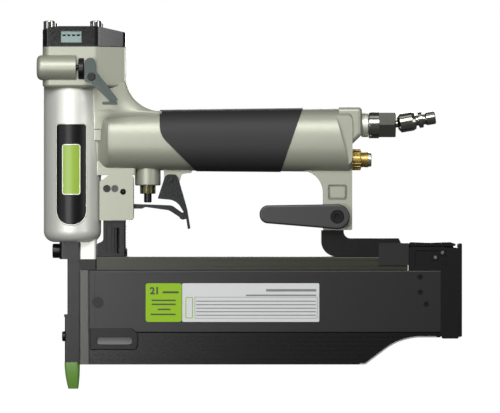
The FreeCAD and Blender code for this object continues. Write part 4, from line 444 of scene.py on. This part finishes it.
low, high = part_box("badge_inlay")
INSET = 0.2
BEAD_RISE = 0.3
BADGE_CORNERS = (8.2, 8.2, 2.0, 2.0)
PLATE_CORNERS = (1.2, 1.2, 1.2, 1.2)
badge = rounded_outline(low[0] / MM + INSET, high[0] / MM - INSET, low[2] / MM, high[2] / MM,
                        BADGE_CORNERS)
bead_on_barrel("badge_border", badge, BARREL_R + 0.25, 0.35, BEAD_RISE, FINISHES["pale_satin_nickel"])
low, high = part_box("badge_plate")
plate = rounded_outline(low[0] / MM, high[0] / MM, low[2] / MM, high[2] / MM, PLATE_CORNERS, 5)
bead_on_barrel("plate_border", plate, BARREL_R + 0.65, 0.45, BEAD_RISE, FINISHES["pale_satin_nickel"])
print("badge outline points:", len(badge))

# %% [markdown]
# ## The fairing between barrel and handle
# A casting never ends in a bare edge: where the handle runs into the barrel the mould leaves a soft valley.
# Sections of the handle's own rounded shape are drawn from its front end up to the barrel's wall, narrower
# each time. They stop outside the bore, so that the piston keeps its room.

# %% Neck fairing
HANDLE_Z, HANDLE_HALF_W, HANDLE_HALF_H, HANDLE_SQUARE = 148.8, 16.45, 17.7, 2.5
FAIRING_FRONT, FAIRING_REAR, VALLEY_HALF_W = 14.7, 22.6, 8.8
FAIRING_ROWS, FAIRING_COLUMNS = 25, 96


def superellipse(count, exponent):
    """Points (a, b) with |a| ** exponent + |b| ** exponent = 1."""
    t = np.linspace(0, 2 * np.pi, count, endpoint=False)
    sides = [np.sign(f(t)) * np.abs(f(t)) ** (2 / exponent) for f in (np.cos, np.sin)]
    return np.stack(sides, axis=1)


station = np.linspace(0, 1, FAIRING_ROWS)[:, None]
ease = (1 - np.cos(np.pi * station)) / 2
outline = superellipse(FAIRING_COLUMNS, HANDLE_SQUARE)
half_width = VALLEY_HALF_W + (HANDLE_HALF_W - VALLEY_HALF_W) * ease
fairing_x = FAIRING_FRONT + (FAIRING_REAR - FAIRING_FRONT) * station
fairing = np.stack([np.repeat(fairing_x, FAIRING_COLUMNS, axis=1), half_width * outline[None, :, 0],
                    HANDLE_Z + HANDLE_HALF_H * np.repeat(outline[None, :, 1], FAIRING_ROWS, axis=0)], axis=2)
tube("neck_fairing", fairing, "frame", FINISHES["champagne_paint"])
print("fairing sections:", FAIRING_ROWS)

# %% [markdown]
# ## Rounded cheeks on the neck
# The neck between head and handle is not flat either: each side swells in its middle and draws in towards
# the barrel and the swept rear edge. Level sections, each a parabola, are stacked from the handle up into
# the head. A cheek is a shell on its own side of the tool, which keeps it out of the bore.

# %% Neck cheeks
SWEEP_R, SWEEP_X, SWEEP_Z = 21.5, 53.6, 187.6     # the arc of the rear edge: its radius and centre
CHEEK_FRONT, CHEEK_LOW, CHEEK_HIGH, CHEEK_BACK_Y = 11.4, 155.0, 184.0, 9.6
NECK_HALF_W, SWELL = 10.5, 2.6
GROW_HEIGHT = 12.0     # the swell rises from nothing to full over this height
REAR_GAP, SIDE_GAP = 0.3, 0.03
CHEEK_ROWS, CHEEK_COLUMNS = 40, 24

level = np.linspace(CHEEK_LOW, CHEEK_HIGH, CHEEK_ROWS)
grown = np.clip((level - CHEEK_LOW) / GROW_HEIGHT, 0, 1)
grown = grown ** 2 * (3 - 2 * grown)
drop = np.clip(SWEEP_Z - level, 0, SWEEP_R)
rear = SWEEP_X - np.sqrt(SWEEP_R ** 2 - drop ** 2) - REAR_GAP
across = np.linspace(0, 1, CHEEK_COLUMNS)
parabola = 4 * (across * (1 - across))
cheek_x = CHEEK_FRONT + (rear[:, None] - CHEEK_FRONT) * across[None, :]
cheek_y = NECK_HALF_W + SIDE_GAP + SWELL * grown[:, None] * parabola[None, :]
cheek_z = np.repeat(level[:, None], CHEEK_COLUMNS, axis=1)
skin_out = np.stack([cheek_x, cheek_y, cheek_z], axis=2)
skin_in = np.stack([cheek_x, np.full_like(cheek_x, CHEEK_BACK_Y), cheek_z], axis=2)[:, ::-1]
cheek = np.concatenate([skin_out, skin_in], axis=1)
for side, hand in (("near", -1), ("far", 1)):
    tube("neck_cheek_" + side, cheek * (1, hand, 1), "frame", FINISHES["champagne_paint"])
print("cheek sections:", CHEEK_ROWS)

# %% [markdown]
# ## The bare edge of the channel
# Where the lower channel sweeps up at the back, its black coating was cut through and the aluminium shows as
# a pale line. The line is a flat ribbon carried along a path: three straight stretches joined by arcs.

# %% Bare edge


def filleted_path(corners, step=0.4):
    """Open path through corners (x, z, radius); each corner is an arc that touches both of its straights."""
    corners = np.array(corners, dtype=float)
    points = [corners[0, :2]]
    for before, here, after in zip(corners[:-2], corners[1:-1], corners[2:]):
        enter = (before[:2] - here[:2]) / np.linalg.norm(before[:2] - here[:2])
        leave = (after[:2] - here[:2]) / np.linalg.norm(after[:2] - here[:2])
        half = np.arccos(np.clip(enter @ leave, -1, 1)) / 2
        middle = (enter + leave) / np.linalg.norm(enter + leave)
        centre = here[:2] + middle * here[2] / np.sin(half)
        start = here[:2] + enter * here[2] / np.tan(half) - centre
        end = here[:2] + leave * here[2] / np.tan(half) - centre
        turned = np.arctan2(start[0] * end[1] - start[1] * end[0], start @ end)
        angle = np.linspace(0, turned, max(4, int(abs(turned) * here[2] / step)))
        across = np.array([-start[1], start[0]])
        points.extend(centre + np.cos(angle)[:, None] * start + np.sin(angle)[:, None] * across)
    points.append(corners[-1, :2])
    return np.array(points)


def flat_ribbon(name, path, half_width, near_y, thickness, body, material):
    """Closed ribbon in the XZ plane: a rectangle 2 * half_width by thickness carried along the path."""
    along = np.gradient(path, axis=0)
    along /= np.linalg.norm(along, axis=1, keepdims=True)
    middle = np.stack([path[:, 0], np.full(len(path), near_y + thickness / 2), path[:, 1]], axis=1)
    side = np.stack([-along[:, 1], np.zeros(len(path)), along[:, 0]], axis=1)
    depth = np.tile([0.0, 1.0, 0.0], (len(path), 1))
    corner = np.array([(-1, -1), (1, -1), (1, 1), (-1, 1)]) * (half_width, thickness / 2)
    return tube(name, sweep(middle, side, depth, corner), body, material, smooth=False)


channel_low_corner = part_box("cover_channel")[0]
COVER_NEAR_Y, CHANNEL_LOW = channel_low_corner[1] / MM, channel_low_corner[2] / MM
EDGE_HALF = 0.4
SKIN = 0.06
TAIL_LOW = 30.9     # height of the channel's underside behind the sweep
low_line, high_line = CHANNEL_LOW + EDGE_HALF, TAIL_LOW + EDGE_HALF
sweep_up = filleted_path([(172.0, low_line, 0), (175.3, low_line, 3), (196.8, high_line, 36),
                          (218.0, high_line, 0)])
flat_ribbon("channel_bare_edge", sweep_up, EDGE_HALF, COVER_NEAR_Y - SKIN, SKIN, "cover",
            FINISHES["bare_aluminium"])
print("bare edge points:", len(sweep_up))

# %% [markdown]
# ## Print on the labels
# The two labels carry no words. Thin rules, two frames and the plain wire gauge stand for the usual table
# of pin sizes. Every rule is a thin slab a few hundredths of a millimetre proud of the label, and its place
# is measured inwards from the label's own edges.

# %% Label rules
INK = 0.05     # how far print stands proud of the face behind it


def slabs(name, rows, body, material):
    """One mesh of boxes, a row (x0, x1, y0, y1, z0, z1) each; the bits of k pick the bounds of corner k."""
    bounds = np.array(rows, dtype=float).reshape(-1, 3, 2)
    bits = np.array([(k & 1, (k >> 1) & 1, (k >> 2) & 1) for k in range(8)])
    points = np.stack([bounds[:, axis][:, bits[:, axis]] for axis in range(3)], axis=2).reshape(-1, 3)
    quad = np.array([(0, 2, 3, 1), (4, 5, 7, 6), (0, 1, 5, 4), (2, 6, 7, 3), (0, 4, 6, 2), (1, 3, 7, 5)])
    faces = (np.arange(len(bounds))[:, None, None] * 8 + quad[None]).reshape(-1, 4).tolist()
    return piece(name, points, body, material, smooth=False, faces=faces)


def rule(x0, x1, z, height, near_y):
    """One printed line as a slab in front of a face at near_y."""
    return (x0, x1, near_y - INK, near_y, z - height / 2, z + height / 2)


def frame_rules(x0, x1, z0, z1, width, near_y):
    """Four printed lines round a rectangle; the upright ones fit between the level ones."""
    level = [rule(x0, x1, z, width, near_y) for z in (z0, z1)]
    upright = [(x - width / 2, x + width / 2, near_y - INK, near_y, z0 + width / 2, z1 - width / 2)
               for x in (x0, x1)]
    return level + upright


(GREEN_X0, GREEN_Y, _), (GREEN_X1, _, GREEN_Z1) = np.array(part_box("label_green")) / MM
(PALE_X0, PALE_Y, PALE_Z0), (PALE_X1, _, PALE_Z1) = np.array(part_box("label_white")) / MM
BOLD, PLAIN, FINE, HAIR = 1.2, 0.9, 0.55, 0.25     # heights of the printed lines
HEADING = 1.5
green_rules = [rule(GREEN_X0 + 10.2, GREEN_X1 - 1.8, GREEN_Z1 - 5.4, BOLD, GREEN_Y)]
for drop, left, right in ((10.2, 3.6, 3.6), (12.6, 3.6, 3.6), (15.6, 7.2, 6.6), (18.6, 3.0, 3.6)):
    green_rules.append(rule(GREEN_X0 + left, GREEN_X1 - right, GREEN_Z1 - drop, PLAIN, GREEN_Y))
slabs("green_label_rules", green_rules, "cover", FINISHES["print_dark"])

TABLE_LINES, TABLE_PITCH = 5, 2.1
pale_rules = [rule(PALE_X1 - 31.8, PALE_X1 - 1.8, PALE_Z1 - 4.2, HEADING, PALE_Y),
              rule(PALE_X1 - 43.8, PALE_X1 - 1.8, PALE_Z1 - 7.2, PLAIN, PALE_Y)]
pale_rules += frame_rules(PALE_X0 + 7.6, PALE_X1 - 1.2, PALE_Z0 + 2.2, PALE_Z0 + 14.8, HAIR, PALE_Y)
for k in range(TABLE_LINES):
    line_z = PALE_Z0 + 4.0 + TABLE_PITCH * k
    pale_rules.append(rule(PALE_X0 + 8.4, PALE_X1 - 2.0, line_z, FINE, PALE_Y))
slabs("pale_label_rules", pale_rules, "cover", FINISHES["print_grey"])
small_frame = frame_rules(PALE_X0 + 2.2, PALE_X0 + 6.2, PALE_Z0 + 2.4, PALE_Z0 + 14.6, 0.5, PALE_Y)
slabs("pale_label_frame", small_frame, "cover", FINISHES["label_green"])
print("label rules:", len(green_rules) + len(pale_rules))

# %% [markdown]
# ## The wire gauge
# A font curve gives the shape of a number. It becomes a mesh, is stood up in front of the label, scaled to
# its height, and made as thin as ink.

# %% Label number
LETTER_DEPTH = 2.4     # turns the letter's own thickness into the thickness of the ink
STROKE = 0.045         # thickens the strokes, as a share of the letter's size


def number(name, text, x, z, height, near_y, body, material):
    """A plain number as a thin solid that stands in the XZ plane with its lower left corner at (x, z)."""
    curve = bpy.data.curves.new(name, "FONT")
    curve.body = text
    curve.size = 1.0
    curve.extrude = 0.01
    curve.offset = STROKE
    letter = bpy.data.objects.new(name + "_curve", curve)
    bpy.context.collection.objects.link(letter)
    bpy.context.view_layer.update()
    mesh = bpy.data.meshes.new_from_object(letter.evaluated_get(bpy.context.evaluated_depsgraph_get()))
    bpy.data.objects.remove(letter)
    bpy.data.curves.remove(curve)
    flat = np.empty(len(mesh.vertices) * 3)
    mesh.vertices.foreach_get("co", flat)
    flat = flat.reshape(-1, 3)
    flat[:, :2] -= flat[:, :2].min(axis=0)
    scale = height / flat[:, 1].max()
    depth = near_y - INK / 2 - flat[:, 2] * LETTER_DEPTH
    stood = np.stack([x + flat[:, 0] * scale, depth, z + flat[:, 1] * scale], axis=1)
    mesh.vertices.foreach_set("co", (stood * MM).ravel())
    mesh.name = name
    mesh.materials.clear()
    mesh.materials.append(material)
    thing = bpy.data.objects.new(name, mesh)
    bpy.context.collection.objects.link(thing)
    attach(thing, body)
    return outward(thing)


WIRE_GAUGE = "21"
number("green_label_number", WIRE_GAUGE, GREEN_X0 + 2.6, GREEN_Z1 - 6.6, 4.4, GREEN_Y, "cover",
       FINISHES["print_dark"])
print("printed number:", WIRE_GAUGE)

# %% [markdown]
# ## Dark joints
# Two pieces that meet leave a thin gap that reads as a black line, here on both sides of the front strip.
# The column behind the nose and the gap at the tail have closed backs as well, so no daylight comes through.

# %% Joint lines
LINE_DEPTH = 0.04
CLEAR = 0.1
(STRIP_X0, STRIP_Y, STRIP_Z0), (STRIP_X1, _, STRIP_Z1) = np.array(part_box("front_strip")) / MM
strip_lines = [(x0, x1, STRIP_Y - LINE_DEPTH, STRIP_Y, STRIP_Z0, STRIP_Z1)
               for x0, x1 in ((STRIP_X1 - 0.75, STRIP_X1 + 0.15), (STRIP_X0, STRIP_X0 + 0.6))]
slabs("strip_joints", strip_lines, "cover", FINISHES["moulded_black"])

COLUMN_BACK_W, COLUMN_BACK_T = 9.0, 0.9
(_, _, COLUMN_Z0), (COLUMN_X1, COLUMN_Y1, COLUMN_Z1) = np.array(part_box("spring_column")) / MM
column_back = (COLUMN_X1 - COLUMN_BACK_W, COLUMN_X1 - CLEAR, COLUMN_Y1 - COLUMN_BACK_T, COLUMN_Y1 - CLEAR,
               COLUMN_Z0 + 0.5, COLUMN_Z1 - 1.0)
slabs("column_back", [column_back], "frame", FINISHES["moulded_black"])

GASKET_T = 0.3
(_, KEEPER_Y0, KEEPER_Z0), (KEEPER_X1, KEEPER_Y1, KEEPER_Z1) = np.array(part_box("keeper_block")) / MM
gasket = (KEEPER_X1 - 0.05, KEEPER_X1 + GASKET_T, KEEPER_Y0 + CLEAR, KEEPER_Y1 - CLEAR, KEEPER_Z0 + CLEAR,
          KEEPER_Z1 - CLEAR)
slabs("keeper_gasket", [gasket], "frame", FINISHES["moulded_black"])
print("slabs in the strip's joints:", len(strip_lines))

# %% [markdown]
# ## Painted shade round a panel and in a hole
# A pressed panel on the post gets a grey outline of painted shade, made like the printed frames, that darkens
# its edges, and a small black disc in a hole of the guide block is painted shade that darkens the hole.

# %% Painted shade on panel and hole
POST_PANEL = 153.9, 163.9, 114.0, 122.2
POST_SHADE_WIDTH, POST_FACE_Y = 0.55, -6.0
# The outline is painted shade along the edges of the panel's shallow pocket.
slabs("post_panel_painted_shade", frame_rules(*POST_PANEL, POST_SHADE_WIDTH, POST_FACE_Y), "frame", FINISHES["print_grey"])

# A black disc set in the hole is painted shade: it darkens the hole in the guide block.
HOLE_X, HOLE_Z, HOLE_R, HOLE_Y, SHADE_DISC_T, SHADE_DISC_SIDES = 30.6, 118.0, 1.7, -7.0, 0.4, 24
disc = ring(SHADE_DISC_SIDES, HOLE_R)
shade_disc_rings = np.stack([np.stack([HOLE_X + disc[:, 0], np.full(SHADE_DISC_SIDES, y), HOLE_Z + disc[:, 1]], axis=1)
                       for y in (HOLE_Y, HOLE_Y + SHADE_DISC_T)])
tube("block_hole_painted_shade", shade_disc_rings, "frame", FINISHES["moulded_black"])
print("plug radius in mm:", HOLE_R)

# %% [markdown]
# ## The table and the sky
# A catalogue picture shows a tool on pure white. The table and the sky are white to the camera, while the
# metal reflects a dim grey studio.

# %% Table and sky
FLOOR_HALF = 3.0
FLOOR_DROP = 0.0005     # the table lies just below the tip, so that the two faces never share a plane


def white_to_camera(name, shade):
    """A pale surface that is pure white only to rays straight from the camera."""
    material, tree, surface = finish_named(name)
    seen = add(tree, "ShaderNodeLightPath")
    pale = add(tree, "ShaderNodeBsdfDiffuse", {"Color": linear(shade)})
    white = add(tree, "ShaderNodeEmission", {"Color": (1, 1, 1, 1), "Strength": 1.0})
    mix = add(tree, "ShaderNodeMixShader", {"Fac": seen.outputs["Is Camera Ray"]})
    tree.links.new(pale.outputs[0], mix.inputs[1])
    tree.links.new(white.outputs[0], mix.inputs[2])
    tree.links.new(mix.outputs[0], surface)
    return material


floor_mesh = bpy.data.meshes.new("table_top")
corners = np.array([(-1, -1, 0), (1, -1, 0), (1, 1, 0), (-1, 1, 0)]) * FLOOR_HALF
floor_mesh.from_pydata((corners - (0, 0, FLOOR_DROP)).tolist(), [], [(0, 1, 2, 3)])
floor = bpy.data.objects.new("table_top", floor_mesh)
bpy.context.collection.objects.link(floor)
floor.data.materials.append(white_to_camera("white_table", "#606060"))

world = bpy.data.worlds.new("studio")
bpy.context.scene.world = world
world.use_nodes = True
sky = world.node_tree
sky.nodes.clear()
seen = add(sky, "ShaderNodeLightPath")
soft = add(sky, "ShaderNodeBackground", {"Color": linear("#8c8c8c"), "Strength": 0.4})
white = add(sky, "ShaderNodeBackground", {"Color": (1, 1, 1, 1), "Strength": 1.0})
both = add(sky, "ShaderNodeMixShader", {"Fac": seen.outputs["Is Camera Ray"]})
sky.links.new(soft.outputs[0], both.inputs[1])
sky.links.new(white.outputs[0], both.inputs[2])
sky.links.new(both.outputs[0], add(sky, "ShaderNodeOutputWorld").inputs["Surface"])
print("table half width in m:", FLOOR_HALF)

# %% [markdown]
# ## The lamps
# Soft rectangular lamps give the metal something to mirror. The strongest stands in front and above, and
# another behind the tool lights its far side.

# %% Lamps
TOOL_MIDDLE = (0.1065, 0.0, 0.1092)     # metres: what the camera and most lamps face


def lamp(name, place, aim, width, height, watts):
    """A rectangular area lamp at `place` that faces `aim` and that the camera sees through."""
    data = bpy.data.lights.new(name, "AREA")
    data.shape = "RECTANGLE"
    data.size = width
    data.size_y = height
    data.energy = watts
    lamp_object = bpy.data.objects.new(name, data)
    lamp_object.location = place
    lamp_object.rotation_euler = (Vector(aim) - Vector(place)).to_track_quat("-Z", "Y").to_euler()
    lamp_object.visible_camera = False
    bpy.context.collection.objects.link(lamp_object)


# name, place, aim, width, height, watts
lamp("front_box", (-0.04, -0.95, 0.72), (0.03, 0, 0.13), 0.80, 0.46, 12.0)
lamp("low_left_box", (-0.22, -0.95, 0.08), (0.05, 0, 0.06), 0.36, 0.14, 3.0)
lamp("left_box", (-0.75, -0.85, 0.28), TOOL_MIDDLE, 0.3, 0.5, 1.2)
lamp("right_box", (0.85, -0.70, 0.30), TOOL_MIDDLE, 0.3, 0.5, 2.2)
lamp("top_box", (0.1, -0.25, 0.95), TOOL_MIDDLE, 0.9, 0.25, 0.9)
lamp("back_box", (0.1, 1.0, 0.45), TOOL_MIDDLE, 0.8, 0.5, 7.0)
print("lamps:", len(bpy.data.lights))

# %% [markdown]
# ## The camera
# The picture looks straight at the label side from far enough that near and far parts keep almost the same
# scale, with a lens that takes in a width of thirty centimetres at the tool.

# %% Camera
CAMERA_DISTANCE = 2.4
SEEN_WIDTH = 0.300
SENSOR_MM = 36.0
camera_data = bpy.data.cameras.new("camera")
camera_data.sensor_width = SENSOR_MM
camera_data.lens = SENSOR_MM * CAMERA_DISTANCE / SEEN_WIDTH
camera = bpy.data.objects.new("camera", camera_data)
camera.location = (TOOL_MIDDLE[0], -CAMERA_DISTANCE, TOOL_MIDDLE[2])
camera.rotation_euler = (math.radians(90), 0, 0)
bpy.context.collection.objects.link(camera)
bpy.context.scene.camera = camera
bpy.context.scene.view_settings.view_transform = "Standard"
print("camera lens in mm:", round(camera_data.lens))
